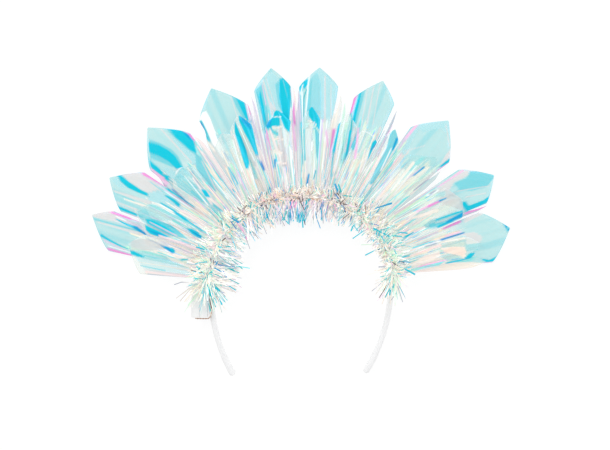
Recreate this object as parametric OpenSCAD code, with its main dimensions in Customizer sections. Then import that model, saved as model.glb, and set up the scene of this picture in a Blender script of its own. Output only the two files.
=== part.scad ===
// Light-up tiara: a slim ribbon-covered headband that carries a fan of pleated
// film petals, a tinsel garland over their feet, and a small battery case with
// its wire and light drops. The tiara lies on its back: X runs across the head,
// Y from the open ends of the band towards the crown, and Z from the resting
// surface towards the front. The origin is the centre of the band's upper arc.

/* [Headband] */
// Radius of the band's centreline over the crown
band_r = 69; // [60:1:75]
// Thickness of the band, covering included
band_t = 4.4; // [3:0.2:6]
// Width of the band from its back edge to its front edge
band_w = 10; // [8:0.5:12]
// Radius of each leg's gentle curve
leg_r = 122; // [100:1:150]
// Angle that the left leg's curve turns through
left_leg_deg = 33.2; // [25:0.1:36]
// Angle that the right leg's curve turns through
right_leg_deg = 28.7; // [25:0.1:36]
// Turn of the whole band under the fan
band_lean = -3.5; // [-4:0.1:4]

/* [Petals] */
// Distance from the origin to the tips of the back petals
back_reach = 172; // [150:1:185]
// Distance from the origin to the tips of the middle petals
middle_reach = 141; // [130:1:150]
// Distance from the origin to the tips of the front petals
front_reach = 136; // [125:1:145]
// Wall of a petal
film_t = 1; // [0.8:0.1:1.2]
// Height of the pleats at the foot of a petal
pleat_rise = 1.2; // [0.4:0.1:1.2]
// Height by which the middle of a petal stands over its edges
petal_bow = 2; // [0:0.2:2.6]

/* [Tinsel] */
// Radius of the garland's dense middle
core_r = 3.2; // [2.5:0.1:3.4]
// Length of the locks, from the middle of the garland
lock_l = 21; // [14:1:22]
// Thickness of a lock at its root
lock_t = 2; // [1.2:0.1:2.2]
// Angle from one lock to the next
lock_step = 7.5; // [7:0.5:9]

/* [Battery case] */
// Length of the battery case
case_l = 28; // [24:1:29]
// Thickness of the battery case, both halves together
case_t = 12.7; // [12:0.1:14]
// Width of the battery case from back to front
case_w = 15; // [13:0.5:15]
// Wall of the battery case
case_wall = 1.2; // [1:0.1:1.4]
// Travel of the switch from off to on
switch_travel = 3; // [2:0.5:4]

/* [Lights] */
// Diameter of the twisted copper wire
wire_d = 1; // [0.8:0.1:1.2]
// Diameter of a light drop
drop_d = 3; // [2.4:0.1:3]
// Length of a light drop
drop_l = 4.2; // [3.6:0.1:4.4]

/* [Hidden] */
$fn = 48;

// Clearance between pieces that rest against each other
seat = 0.3;

// Columns of the petal tables
FOOT_DEG = 0; // angle of the foot's middle on the band
TIP_DEG = 1; // angle of the tip
TIP_EXTRA = 2; // what the tip reaches past the common reach of its row
LEFT_W = 3; // width from the petal's axis to its left shoulder
LEFT_H = 4; // height of the left shoulder as a share of the petal's length
RIGHT_W = 5; // width from the petal's axis to its right shoulder
RIGHT_H = 6; // height of the right shoulder as a share of the petal's length

// One row per petal, from the left end of the fan to the right end
BACK_PETALS = [
    // foot, tip, extra, left w, left h, right w, right h
    [163, 160.3, -1, 19, 0.78, 9, 0.85],
    [147, 149.7, -1, 18.5, 0.80, 16.5, 0.78],
    [131, 133.4, 0, 20, 0.76, 20, 0.74],
    [115, 114.0, -2, 18.5, 0.80, 20, 0.78],
    [99, 97.7, 0.5, 15, 0.84, 13.5, 0.84],
    [83, 85.2, 0, 15, 0.84, 15, 0.86],
    [67, 68.6, 1, 16.5, 0.80, 14.5, 0.86],
    [51, 48.9, 1, 18, 0.77, 22, 0.77],
    [35, 30.7, 1, 16.5, 0.78, 15, 0.85],
    [18, 16.5, -4, 18, 0.79, 22, 0.79],
];
MIDDLE_PETALS = [
    // foot, tip, extra, left w, left h, right w, right h
    [155, 154.3, 0, 13, 0.77, 11.5, 0.85],
    [108, 109.8, 2, 10.5, 0.86, 7, 0.84],
    [97, 97.6, -1, 11, 0.81, 9.5, 0.84],
    [86, 86.6, 0, 8, 0.82, 7, 0.86],
    [75, 75.0, -1, 6, 0.82, 9.5, 0.88],
    [60, 59.6, 2, 6, 0.83, 8.5, 0.88],
    [28, 29.2, 1, 15, 0.90, 11.5, 0.86],
    [13, 14.5, 1.5, 10.5, 0.83, 9, 0.85],
];
FRONT_PETALS = [
    // foot, tip, extra, left w, left h, right w, right h
    [168, 165.0, 1, 18, 0.74, 11, 0.83],
    [137, 135.5, -3, 12.5, 0.86, 10.5, 0.88],
    [119, 116.9, -1.5, 9, 0.87, 11.5, 0.88],
    [68, 67.7, -2, 6, 0.84, 11, 0.88],
    [45, 44.4, 9, 18, 0.77, 8, 0.87],
];

// Petal mesh: folds across, and the rows below and above the shoulders
FOLDS = 8;
LOWER_ROWS = 4;
UPPER_ROWS = 3;
PETAL_ROWS = LOWER_ROWS + UPPER_ROWS;
// Half width of a petal's very tip, and roundness of the edges that lead to it
tip_half_w = 0.4;
tip_round = 1.25;
// Share of the pleats' height that is left at the shoulders
pleat_left = 0.4;

// Feet of the petals: half widths in degrees, radii, heights and lifts to the tip
back_foot_half_deg = 6.6;
middle_foot_half_deg = 4.4;
front_foot_half_deg = 5.5;
foot_r = band_r + band_t / 2 + seat;
back_z = 3.4;
middle_z = back_z + 4;
front_z = middle_z + 4;
back_lift = 0.6;
middle_lift = 4.6;
front_lift = 6;

// Headband
leg_centre_x = leg_r - band_r;
band_edge_r = 2;
EDGE_STEPS = 5;
sleeve_extra = 0.3;
sleeve_deg = 7;
tip_inset = 1;

// Tinsel
core_arc_r = band_r + band_t / 2 + 1.3;
core_z = band_w + seat + core_r;
core_from_deg = 6;
core_to_deg = 172;
CORE_STEPS = 84;
CORE_SIDES = 8;
lock_tip_t = 0.8;
front_foot_r = core_arc_r + core_r + seat;

// Columns of the lock table
REACH = 0; // share of the lock's length that runs along the radius, inwards if negative
RISE = 1; // share of the lock's length that rises towards the front
SWAY = 2; // how far the tip swings along the band, in degrees
LOCKS = [
    // reach, rise, sway
    [-1.00, -0.08, 3],
    [-0.80, 0.35, -3],
    [-0.25, 0.60, 2],
    [0.45, 0.55, -2],
    [0.90, 0.30, 3],
];
// Locks that fan out past both ends of the garland: how far each swings from the
// garland's own direction, towards the head if negative
END_LOCK_SWINGS = [-50, -28, -8, 12, 34];
end_lock_rise = 2.6;
// Heights of the locks' roots over the garland's middle line
lock_root = 0.6;
end_lock_root = 2.8;

// Battery case
case_inner_x = leg_centre_x * cos(band_lean) - leg_r - band_t / 2 - seat;
case_foot_y = -21.2;
seam = 0.2;
case_half_t = (case_t - seam) / 2;
recess_w = 5;
recess_t = 1.7;
knob_l = 4;
knob_end_gap = 0.5;
knob_w = recess_w - 2 * seat;
knob_t = recess_t - seat;
recess_l = knob_l + switch_travel + 2 * knob_end_gap;
recess_y = case_foot_y + case_l * 0.45;

// Light wire
wire_z = band_w + seat + wire_d / 2;
wire_arc_r = band_r - 0.1;
wire_from_deg = 174;
wire_to_deg = 9;
wire_step = 5;
wire_sides = 8;
wire_exit_x = -81.5;
wire_exit_z = 7.5;
wire_y = case_foot_y - seat - wire_d / 2;
// Points of the wire from the case's foot to the start of the garland
WIRE_LEAD = [
    [wire_exit_x, case_foot_y - seat, wire_exit_z],
    [wire_exit_x + 0.2, wire_y + 0.2, wire_exit_z],
    [wire_exit_x + 0.9, wire_y, wire_exit_z],
    [-77, wire_y, 8.4],
    [-73, wire_y, 10],
    [-71, wire_y + 0.2, wire_z],
    [-69.8, wire_y + 1.4, wire_z],
    [-69.2, wire_y + 3.4, wire_z],
    [-68.9, wire_y + 8, wire_z],
    [-68.8, wire_y + 16, wire_z],
];

// Light drops
DROPS = 10;
drop_first_deg = core_to_deg - 1.5 * lock_step;
drop_step = 2 * lock_step;
drop_arc_r = wire_arc_r - 1.3;
drop_z = wire_z + 1.5;

BACK_NAMES = [for (i = [1:len(BACK_PETALS)]) str("back_petal_", i)];
MIDDLE_NAMES = [for (i = [1:len(MIDDLE_PETALS)]) str("middle_petal_", i)];
FRONT_NAMES = [for (i = [1:len(FRONT_PETALS)]) str("front_petal_", i)];
DROP_NAMES = [for (i = [1:DROPS]) str("light_drop_", i)];

function mix(a, b, t) = a + (b - a) * t;
function polar(r, deg) = [r * cos(deg), r * sin(deg)];

// Shoulder measure on the side that u points to: u is -1 at the right edge and 1 at the left
function side_w(petal, u) = u > 0 ? petal[LEFT_W] : petal[RIGHT_W];
function shoulder_h(petal, u) = mix(petal[RIGHT_H], petal[LEFT_H], (u + 1) / 2);

// Point of a petal in plan. Row 0 lies on the arc of the foot, row LOWER_ROWS on the
// line between the shoulders, and the last row at the tip.
function petal_plan(petal, row, u, foot_radius, foot_half_deg, reach) =
    let (
        foot = polar(foot_radius, petal[FOOT_DEG]),
        tip = polar(reach + petal[TIP_EXTRA], petal[TIP_DEG]),
        along = (tip - foot) / norm(tip - foot),
        across = [-along[1], along[0]],
        length = norm(tip - foot),
        low = min(row / LOWER_ROWS, 1),
        high = max((row - LOWER_ROWS) / UPPER_ROWS, 0),
        on_foot = polar(foot_radius, petal[FOOT_DEG] + u * foot_half_deg),
        height = mix(shoulder_h(petal, u), 1, high) * length,
        width = u * (side_w(petal, u) * (1 - pow(high, tip_round)) + tip_half_w * high),
        on_top = foot + along * height + across * width
    )
    mix(on_foot, on_top, low);

// Height of a petal's middle surface: it lifts towards the tip, bows over its middle
// and rises and falls with the pleats, which flatten out as the petal widens
function petal_height(row, column, z, lift) =
    let (
        s = row / PETAL_ROWS,
        high = max((row - LOWER_ROWS) / UPPER_ROWS, 0),
        u = 2 * column / FOLDS - 1,
        fold = column % 2 == 1 ? 1 : -1,
        pleat = pleat_rise * mix(1, pleat_left, min(row / LOWER_ROWS, 1)) * (1 - high)
    )
    z + lift * s * s + petal_bow * (1 - u * u) * s * (1 - high) + pleat * fold;

// Points of one side of a petal, row by row from the foot, from right to left
function petal_side(petal, z, lift, foot_radius, foot_half_deg, reach, offset) = [
    for (row = [0:PETAL_ROWS], column = [0:FOLDS])
        let (plan = petal_plan(petal, row, 2 * column / FOLDS - 1, foot_radius, foot_half_deg, reach))
        [plan[0], plan[1], petal_height(row, column, z, lift) + offset]
];

// Two triangles for the four corners a, b, c, d of a patch, in that order
function patch(a, b, c, d) = [[a, b, c], [a, c, d]];

// Faces of a thin plate: a grid of points, and the same grid again on its other side
function plate_faces(rows, columns) =
    let (
        line = columns + 1,
        under = line * (rows + 1)
    )
    concat(
        [for (r = [0:rows - 1], c = [0:columns - 1], face = patch(
            r * line + c, r * line + c + 1, (r + 1) * line + c + 1, (r + 1) * line + c)) face],
        [for (r = [0:rows - 1], c = [0:columns - 1], face = patch(
            under + r * line + c, under + (r + 1) * line + c,
            under + (r + 1) * line + c + 1, under + r * line + c + 1)) face],
        [for (c = [0:columns - 1], face = patch(c + 1, c, under + c, under + c + 1)) face],
        [for (c = [0:columns - 1], face = patch(
            rows * line + c, rows * line + c + 1,
            under + rows * line + c + 1, under + rows * line + c)) face],
        [for (r = [0:rows - 1], face = patch(
            r * line, (r + 1) * line, under + (r + 1) * line, under + r * line)) face],
        [for (r = [0:rows - 1], face = patch(
            (r + 1) * line + columns, r * line + columns,
            under + r * line + columns, under + (r + 1) * line + columns)) face]
    );

// A pleated film petal
module petal(row, z, lift, foot_radius, foot_half_deg, reach) {
    points = concat(
        petal_side(row, z, lift, foot_radius, foot_half_deg, reach, film_t / 2),
        petal_side(row, z, lift, foot_radius, foot_half_deg, reach, -film_t / 2)
    );
    polyhedron(points, plate_faces(PETAL_ROWS, FOLDS));
}

module back_petal(index) {
    color("PaleTurquoise", 0.8)
        petal(BACK_PETALS[index], back_z, back_lift, foot_r, back_foot_half_deg, back_reach);
}

module middle_petal(index) {
    color("LightCyan", 0.8)
        petal(MIDDLE_PETALS[index], middle_z, middle_lift, foot_r, middle_foot_half_deg, middle_reach);
}

module front_petal(index) {
    color("Plum", 0.8)
        petal(FRONT_PETALS[index], front_z, front_lift, front_foot_r, front_foot_half_deg, front_reach);
}

// Section of the band in the plane of its radius and its width: a rectangle whose
// corners are quarter circles
function band_outline(thickness, width) =
    let (
        x = thickness / 2 - band_edge_r,
        low = band_edge_r,
        high = width - band_edge_r,
        CORNERS = [[x, high], [-x, high], [-x, low], [x, low]]
    )
    [for (i = [0:3], k = [0:EDGE_STEPS]) CORNERS[i] + polar(band_edge_r, 90 * (i + k / EDGE_STEPS))];

// A stretch of the band, bent round the origin
module band_bend(radius, angle, thickness) {
    rotate_extrude(angle = angle)
        translate([radius, 0]) polygon(band_outline(thickness, band_w));
}

// A leg of the band on the right, with the ribbon's folded sleeve and round end at its tip
module band_leg(angle) {
    translate([-leg_centre_x, 0, 0]) {
        band_bend(leg_r, -angle, band_t);
        rotate([0, 0, -angle]) {
            band_bend(leg_r, sleeve_deg, band_t + 2 * sleeve_extra);
            translate([leg_r, 0, tip_inset])
                cylinder(d = band_t, h = band_w - 2 * tip_inset);
        }
    }
}

module headband() {
    color("White")
        rotate([0, 0, band_lean])
            union() {
                band_bend(band_r, 180, band_t);
                band_leg(right_leg_deg);
                mirror([1, 0, 0]) band_leg(left_leg_deg);
            }
}

// A tuft of strands that tapers from its root to its tip
module lock(root, tip) {
    hull() {
        translate(root) cube(lock_t, center = true);
        translate(tip) cube(lock_tip_t, center = true);
    }
}

// Point on the garland's middle line at an angle, moved along the radius and up
function garland_point(deg, out, up) = concat(polar(core_arc_r + out, deg), [core_z + up]);

// Locks that fan out past one end: side is 1 at the left end and -1 at the right end
module end_locks(deg, side) {
    root = garland_point(deg, 0, end_lock_root);
    for (swing = END_LOCK_SWINGS) {
        heading = deg + side * (90 - swing);
        tip = root + concat(polar(lock_l, heading), [end_lock_rise]);
        lock(root, tip);
    }
}

module tinsel_garland() {
    color("Lavender") union() {
        translate([0, 0, core_z])
            rotate([0, 0, core_from_deg])
                rotate_extrude(angle = core_to_deg - core_from_deg, $fn = CORE_STEPS)
                    translate([core_arc_r, 0]) circle(core_r, $fn = CORE_SIDES);
        for (deg = [core_to_deg:-lock_step:core_from_deg], spec = LOCKS) {
            root_out = 0.45 * core_r * sign(spec[REACH]);
            root = garland_point(deg, root_out, lock_root);
            tip = garland_point(deg + spec[SWAY], spec[REACH] * lock_l, spec[RISE] * lock_l);
            lock(root, tip);
        }
        end_locks(core_to_deg, 1);
        end_locks(core_from_deg, -1);
    }
}

// Half of the battery case: its hollow opens towards the seam, at x = 0
module case_half(hollow_t) {
    difference() {
        cube([case_half_t, case_l, case_w]);
        translate([-1, case_wall, case_wall])
            cube([hollow_t + 1, case_l - 2 * case_wall, case_w - 2 * case_wall]);
    }
}

module battery_case() {
    color("WhiteSmoke")
        translate([case_inner_x - case_half_t, case_foot_y, 0])
            case_half(case_half_t - case_wall);
}

module battery_cover() {
    outer_x = case_inner_x - case_t;
    color("White")
        difference() {
            translate([outer_x + case_half_t, case_foot_y, 0])
                mirror([1, 0, 0]) case_half(case_half_t - case_wall - recess_t);
            translate([outer_x - 1, recess_y, (case_w - recess_w) / 2])
                cube([recess_t + 1, recess_l, recess_w]);
        }
}

module switch_slider() {
    color("DimGray")
        translate([case_inner_x - case_t, recess_y + knob_end_gap, (case_w - knob_w) / 2])
            cube([knob_t, knob_l, knob_w]);
}

// Centre of the wire: the lead from the case, then the arc that the garland covers
function wire_path() = concat(
    WIRE_LEAD,
    [for (deg = [wire_from_deg:-wire_step:wire_to_deg]) concat(polar(wire_arc_r, deg), [wire_z])]
);

// Unit vector along the path at point i
function heading(path, i) =
    let (d = path[min(i + 1, len(path) - 1)] - path[max(i - 1, 0)]) d / norm(d);

// One ring of the tube round point i, square to the path
function ring(path, i, r, sides) =
    let (
        h = heading(path, i),
        up = abs(h[2]) > 0.9 ? [1, 0, 0] : [0, 0, 1],
        side_raw = cross(h, up),
        side = side_raw / norm(side_raw),
        over = cross(side, h)
    )
    [for (k = [0:sides - 1]) path[i] + side * r * cos(360 * k / sides) + over * r * sin(360 * k / sides)];

// A closed tube swept along a path
module tube(path, r, sides) {
    last = len(path) - 1;
    points = [for (i = [0:last], p = ring(path, i, r, sides)) p];
    walls = [for (i = [0:last - 1], k = [0:sides - 1], face = patch(
        i * sides + k, i * sides + (k + 1) % sides,
        (i + 1) * sides + (k + 1) % sides, (i + 1) * sides + k)) face];
    ends = [
        [for (k = [sides - 1:-1:0]) k],
        [for (k = [0:sides - 1]) last * sides + k]
    ];
    polyhedron(points, concat(walls, ends));
}

module light_wire() {
    color("Peru") tube(wire_path(), wire_d / 2, wire_sides);
}

// A clear drop that lies along the wire
module light_drop(index) {
    deg = drop_first_deg - index * drop_step;
    straight = drop_l - drop_d;
    color("Ivory", 0.6)
        translate(concat(polar(drop_arc_r, deg), [drop_z]))
            rotate([0, 0, deg])
                rotate([90, 0, 0]) {
                    cylinder(d = drop_d, h = straight, center = true);
                    for (end = [-1, 1])
                        translate([0, 0, end * straight / 2]) sphere(d = drop_d);
                }
}

headband();
tinsel_garland();
battery_case();
battery_cover();
switch_slider();
light_wire();
for (i = [0:len(BACK_PETALS) - 1])
    back_petal(i);
for (i = [0:len(MIDDLE_PETALS) - 1])
    middle_petal(i);
for (i = [0:len(FRONT_PETALS) - 1])
    front_petal(i);
for (i = [0:DROPS - 1])
    light_drop(i);
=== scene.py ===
"""Dresses the light-up tiara: iridescent film petals, a tinsel garland with a string of light
drops, a ribbon-covered headband, and a small battery case with its switch.

All sizes in the classes are millimetres in the CAD model's frame: X runs across the head, Y from
the open ends of the band towards the crown, and Z from the resting surface towards the front.
"""

import logging
import math
from collections.abc import Iterator
from dataclasses import dataclass, field
from enum import Enum
from typing import Any

import bmesh
import bpy
import numpy as np
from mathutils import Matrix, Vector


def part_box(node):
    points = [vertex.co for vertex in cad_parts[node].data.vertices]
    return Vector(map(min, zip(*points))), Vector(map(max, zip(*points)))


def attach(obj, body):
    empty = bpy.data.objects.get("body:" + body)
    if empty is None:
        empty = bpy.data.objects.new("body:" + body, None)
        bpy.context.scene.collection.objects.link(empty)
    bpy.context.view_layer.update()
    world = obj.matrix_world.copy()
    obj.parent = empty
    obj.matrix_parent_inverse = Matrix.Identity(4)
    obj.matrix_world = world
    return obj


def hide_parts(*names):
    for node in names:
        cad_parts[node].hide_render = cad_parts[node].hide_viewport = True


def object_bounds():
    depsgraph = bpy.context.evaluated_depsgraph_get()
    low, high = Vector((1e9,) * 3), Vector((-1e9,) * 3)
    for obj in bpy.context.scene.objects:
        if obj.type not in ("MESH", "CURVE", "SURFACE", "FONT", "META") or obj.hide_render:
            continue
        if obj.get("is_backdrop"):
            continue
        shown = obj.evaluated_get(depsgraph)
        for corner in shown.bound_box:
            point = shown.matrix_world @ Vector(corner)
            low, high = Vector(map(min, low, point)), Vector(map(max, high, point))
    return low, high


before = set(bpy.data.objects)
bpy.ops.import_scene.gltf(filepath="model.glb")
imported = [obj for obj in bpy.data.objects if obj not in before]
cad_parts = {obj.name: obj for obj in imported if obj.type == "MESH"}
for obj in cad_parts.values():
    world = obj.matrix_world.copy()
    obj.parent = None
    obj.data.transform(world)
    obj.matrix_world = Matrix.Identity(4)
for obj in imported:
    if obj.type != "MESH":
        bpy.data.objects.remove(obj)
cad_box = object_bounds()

log = logging.getLogger("tiara")

Array = np.ndarray
Number = float | np.ndarray
Range = tuple[float, float]
Rng = np.random.Generator
Piece = bpy.types.Object
Material = bpy.types.Material
Socket = bpy.types.NodeSocket
Colour = tuple[float, float, float, float]
Settings = dict[str, Any]
Sockets = dict[int | str, Any]

MM = 0.001
UP = np.array([0.0, 0.0, 1.0])
FILM_PAINT = "film_paint"
STRAND_PAINT = "strand_paint"
SURFACE_MAP = "surface"

# Pixel of the photograph that shows the centre of the band's upper arc, and its scale
CENTRE_PX = (301.0, 290.0)
MM_PER_PX = 0.77
PHOTO_W_PX = 610


# Small helpers for arrays

def polar(radius: float, degrees: Number) -> Array:
    """Return the points at a radius and an angle: radius times (cosine, sine)."""
    angle = np.radians(degrees)
    return np.stack([radius * np.cos(angle), radius * np.sin(angle)], axis=-1)


def mix(start: Number, end: Number, share: Number) -> Number:
    """Return the value that lies a share of the way from start to end."""
    return start + (end - start) * share


def smooth_step(low: Number, high: Number, value: Array) -> Array:
    """Return 0 below low, 1 above high, and a smooth cubic rise between them."""
    share = np.clip((value - low) / (high - low), 0.0, 1.0)
    return share * share * (3.0 - 2.0 * share)


def window(start: Number, end: Number, rise: float, fall: float, value: Array) -> Array:
    """Return 1 from start to end, with a smooth rise after the start and a fall before the end."""
    return smooth_step(start, start + rise, value) * (1 - smooth_step(end - fall, end, value))


def unit(vectors: Array) -> Array:
    """Return the vectors, each divided by its length."""
    return vectors / np.maximum(np.linalg.norm(vectors, axis=-1, keepdims=True), 1e-12)


def zigzag(value: Array) -> Array:
    """Return -1 at even numbers, 1 at odd numbers, and straight lines between them."""
    return 1.0 - 2.0 * np.abs(np.mod(value, 2.0) - 1.0)


def to_plan(pixels: Any) -> Array:
    """Return the millimetres in X and Y that pixels of the photograph show."""
    return (np.asarray(pixels, float) - CENTRE_PX) * (MM_PER_PX, -MM_PER_PX)


def to_pixels(plan: Array) -> Array:
    """Return the pixels of the photograph that show the points in plan."""
    return plan * (1.0 / MM_PER_PX, -1.0 / MM_PER_PX) + CENTRE_PX


def deepen(colour: Array, gain: float) -> Array:
    """Return colours with their distance from their own grey times the gain."""
    grey = colour.mean(axis=-1, keepdims=True)
    return np.clip(grey + (colour - grey) * gain, 0.0, 1.0)


def opaque(colour: Any) -> Colour:
    """Return three numbers of a colour as a colour that a socket takes."""
    return (*(float(part) for part in colour), 1.0)


class Tone(Enum):
    """Colours of the film and of the tinsel, as the photograph shows them.

    Each has its red, green and blue from 0 to 255, and how opaque the film is where it shows the
    tone: the deep tones hide what is behind. On the film the pale tones are its own tint, and the
    coloured ones are its iridescent reflections, painted in fixed places: painted reflection.
    """

    PALE = (167, 214, 210, 0.3)
    ICE = (216, 209, 203, 0.45)
    AQUA = (138, 211, 213, 0.4)
    POOL = (116, 207, 212, 0.5)
    FROST = (204, 214, 211, 0.66)
    SKY = (95, 203, 210, 0.6)
    CYAN = (8, 192, 211, 0.92)
    AZURE = (8, 158, 206, 0.94)
    BLUE = (62, 132, 190, 0.9)
    PINK = (247, 192, 220, 0.66)
    ROSE = (242, 142, 206, 0.8)
    LILAC = (222, 204, 218, 0.66)
    SILVER = (236, 229, 222, 0.66)
    BLUSH = (250, 226, 220, 0.66)
    CREAM = (250, 236, 220, 0.66)
    PEACH = (254, 228, 208, 0.66)
    MINT = (212, 236, 216, 0.66)
    # On the film, WHITE is a painted highlight
    WHITE = (255, 253, 248, 0.5)
    MIST = (231, 233, 221, 0.66)
    BEIGE = (230, 214, 198, 0.66)
    COPPER = (196, 166, 146, 0.66)
    # On the tinsel, UMBER and STEEL strands are painted dark reflections in the foil
    UMBER = (104, 92, 98, 0.66)
    TEAL = (60, 186, 190, 0.9)
    STEEL = (176, 180, 190, 0.66)

    @property
    def cover(self) -> float:
        """How opaque the film is where it shows this tone."""
        return self.value[3]

    @property
    def linear(self) -> Array:
        """The colour in linear light."""
        share = np.asarray(self.value[:3], float) / 255.0
        return np.where(share <= 0.04045, share / 12.92, ((share + 0.055) / 1.055) ** 2.4)


class Palette:
    """Tones, and how often each of them comes."""

    def __init__(self, **shares: float) -> None:
        """Keep the tones by name, with shares that need not add up to one."""
        self.tones = [Tone[name] for name in shares]
        self.odds = np.array(list(shares.values())) / sum(shares.values())

    def draw(self, rng: Rng) -> Tone:
        """Draw one tone."""
        return self.tones[rng.choice(len(self.tones), p=self.odds)]

    def colours(self, depth: float, count: int, rng: Rng) -> Array:
        """Draw a number of tones, deepened, as rows of linear colour."""
        deep = deepen(np.array([tone.linear for tone in self.tones]), depth)
        return deep[rng.choice(len(self.tones), size=count, p=self.odds)]


class Slot(Enum):
    """Material slots of the record."""

    RIBBON = "ribbon"
    FILM = "film"
    TINSEL = "tinsel"
    CASE = "case_plastic"
    SWITCH = "switch_plastic"
    COPPER = "copper"
    DROP = "clear_drop"


class Body(Enum):
    """Bodies of the frame that pieces ride on."""

    TIARA = "tiara"
    SWITCH = "switch"


# Shader graphs

class Value:
    """A number socket of a shader graph that can stand in a Python expression."""

    def __init__(self, graph: "Graph", socket: Socket) -> None:
        """Keep the graph and the socket."""
        self.graph = graph
        self.socket = socket

    def _math(self, operation: str, first: "Value | float", second: "Value | float") -> "Value":
        """Return the result of a Math node on two values."""
        return self.graph.number("ShaderNodeMath", {"operation": operation}, {0: first, 1: second})

    def __add__(self, other: "Value | float") -> "Value":
        """Return the sum."""
        return self._math("ADD", self, other)

    __radd__ = __add__

    def __sub__(self, other: "Value | float") -> "Value":
        """Return the difference."""
        return self._math("SUBTRACT", self, other)

    def __rsub__(self, other: "Value | float") -> "Value":
        """Return the difference, taken from the other value."""
        return self._math("SUBTRACT", other, self)

    def __mul__(self, other: "Value | float") -> "Value":
        """Return the product."""
        return self._math("MULTIPLY", self, other)

    __rmul__ = __mul__

    def __pow__(self, other: "Value | float") -> "Value":
        """Return the power."""
        return self._math("POWER", self, other)


class Graph:
    """The node tree of one material."""

    def __init__(self, name: str) -> None:
        """Make the material and empty its node tree.

        Args:
            name: name of the material.
        """
        self.material = bpy.data.materials.new(name)
        self.material.use_nodes = True
        self.tree = self.material.node_tree
        self.tree.nodes.clear()
        self.output = self.node("ShaderNodeOutputMaterial", {}, {})

    def node(self, kind: str, settings: Settings, sockets: Sockets) -> bpy.types.Node:
        """Add a node.

        Args:
            kind: the node's type.
            settings: properties of the node, which are set first.
            sockets: values, Values or output sockets by the input's name or index.

        Returns:
            The node.
        """
        made = self.tree.nodes.new(kind)
        for key, value in settings.items():
            setattr(made, key, value)
        for key, value in sockets.items():
            source = value.socket if isinstance(value, Value) else value
            if isinstance(source, bpy.types.NodeSocket):
                self.tree.links.new(source, made.inputs[key])
            else:
                made.inputs[key].default_value = source
        return made

    def number(self, kind: str, settings: Settings, sockets: Sockets, output: int | str = 0) -> Value:
        """Add a node and return one of its outputs as a Value."""
        return Value(self, self.node(kind, settings, sockets).outputs[output])

    def blend(self, first: Colour, second: Colour, share: Value) -> Socket:
        """Return the colour that lies a share of the way from the first colour to the second."""
        sockets = {0: share, 6: first, 7: second}
        return self.node("ShaderNodeMix", {"data_type": "RGBA"}, sockets).outputs[2]

    def scaled(self, source: Socket, scale: tuple[float, float, float]) -> Socket:
        """Return coordinates, scaled on each axis."""
        return self.node("ShaderNodeMapping", {}, {"Vector": source, "Scale": scale}).outputs["Vector"]

    def on_map(self, across: float, along: float) -> Socket:
        """Return the piece's surface map, with repeats to a millimetre across and along the piece."""
        source = self.node("ShaderNodeUVMap", {"uv_map": SURFACE_MAP}, {}).outputs["UV"]
        return self.scaled(source, (across, along, 1.0))

    def in_space(self, repeats: float) -> Socket:
        """Return Object coordinates, with so many repeats to a metre."""
        source = self.node("ShaderNodeTexCoord", {}, {}).outputs["Object"]
        return self.scaled(source, (repeats, repeats, repeats))

    def noise(self, place: Socket, detail: float = 2.0) -> Value:
        """Return a noise between 0 and 1 at the given place."""
        sockets = {"Vector": place, "Scale": 1.0, "Detail": detail}
        return self.number("ShaderNodeTexNoise", {}, sockets, "Fac")

    def bump(self, height: Value, strength: float, distance: float) -> Socket:
        """Return the normal of a surface with the given height over it."""
        sockets = {"Height": height, "Strength": strength, "Distance": distance}
        return self.node("ShaderNodeBump", {}, sockets).outputs["Normal"]

    def finish(self, shader: Socket) -> Material:
        """Join a shader to the output and return the material."""
        self.tree.links.new(shader, self.output.inputs["Surface"])
        return self.material

    def surface(self, sockets: Sockets) -> Material:
        """Return the material with a Principled shader that takes the given sockets."""
        return self.finish(self.node("ShaderNodeBsdfPrincipled", {}, sockets).outputs["BSDF"])


# Finishes

@dataclass(frozen=True)
class FilmFinish:
    """Iridescent film: painted tones, a thin interference layer and fine creases along it.

    The painted tones hold the film's iridescent reflections fixed in place (painted reflection).
    The film also glows faintly in them: a painted glow that stands in for light passing through it
    and lifts the shade between its layers.
    """

    roughness: float = 0.16
    haze: float = 0.14
    layer_nm: float = 316.0
    layer_ior: float = 1.9
    crease_map: Range = (2.2, 0.05)
    cloud_map: Range = (0.12, 0.05)
    crease_share: float = 0.35
    crease_m: float = 0.0003
    coat: float = 0.25
    coat_roughness: float = 0.08
    glow: float = 0.2

    def make(self) -> Material:
        """Build the node tree.

        Returns:
            The material.
        """
        graph = Graph("iridescent film")
        paint = graph.node("ShaderNodeAttribute", {"attribute_name": FILM_PAINT}, {})
        creases = graph.noise(graph.on_map(*self.crease_map), detail=3.0)
        clouds = graph.noise(graph.on_map(*self.cloud_map))
        return graph.surface({
            "Base Color": paint.outputs["Color"],
            "Alpha": paint.outputs["Alpha"],
            "Roughness": self.roughness + self.haze * clouds,
            # Painted glow: the film shines faintly in its own tones, standing in for light that passes
            # through it and lifting the shade between layers
            "Emission Color": paint.outputs["Color"],
            "Emission Strength": self.glow,
            "Coat Weight": self.coat,
            "Coat Roughness": self.coat_roughness,
            "Thin Film Thickness": self.layer_nm,
            "Thin Film IOR": self.layer_ior,
            "Normal": graph.bump(creases, self.crease_share, self.crease_m),
        })


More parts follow.
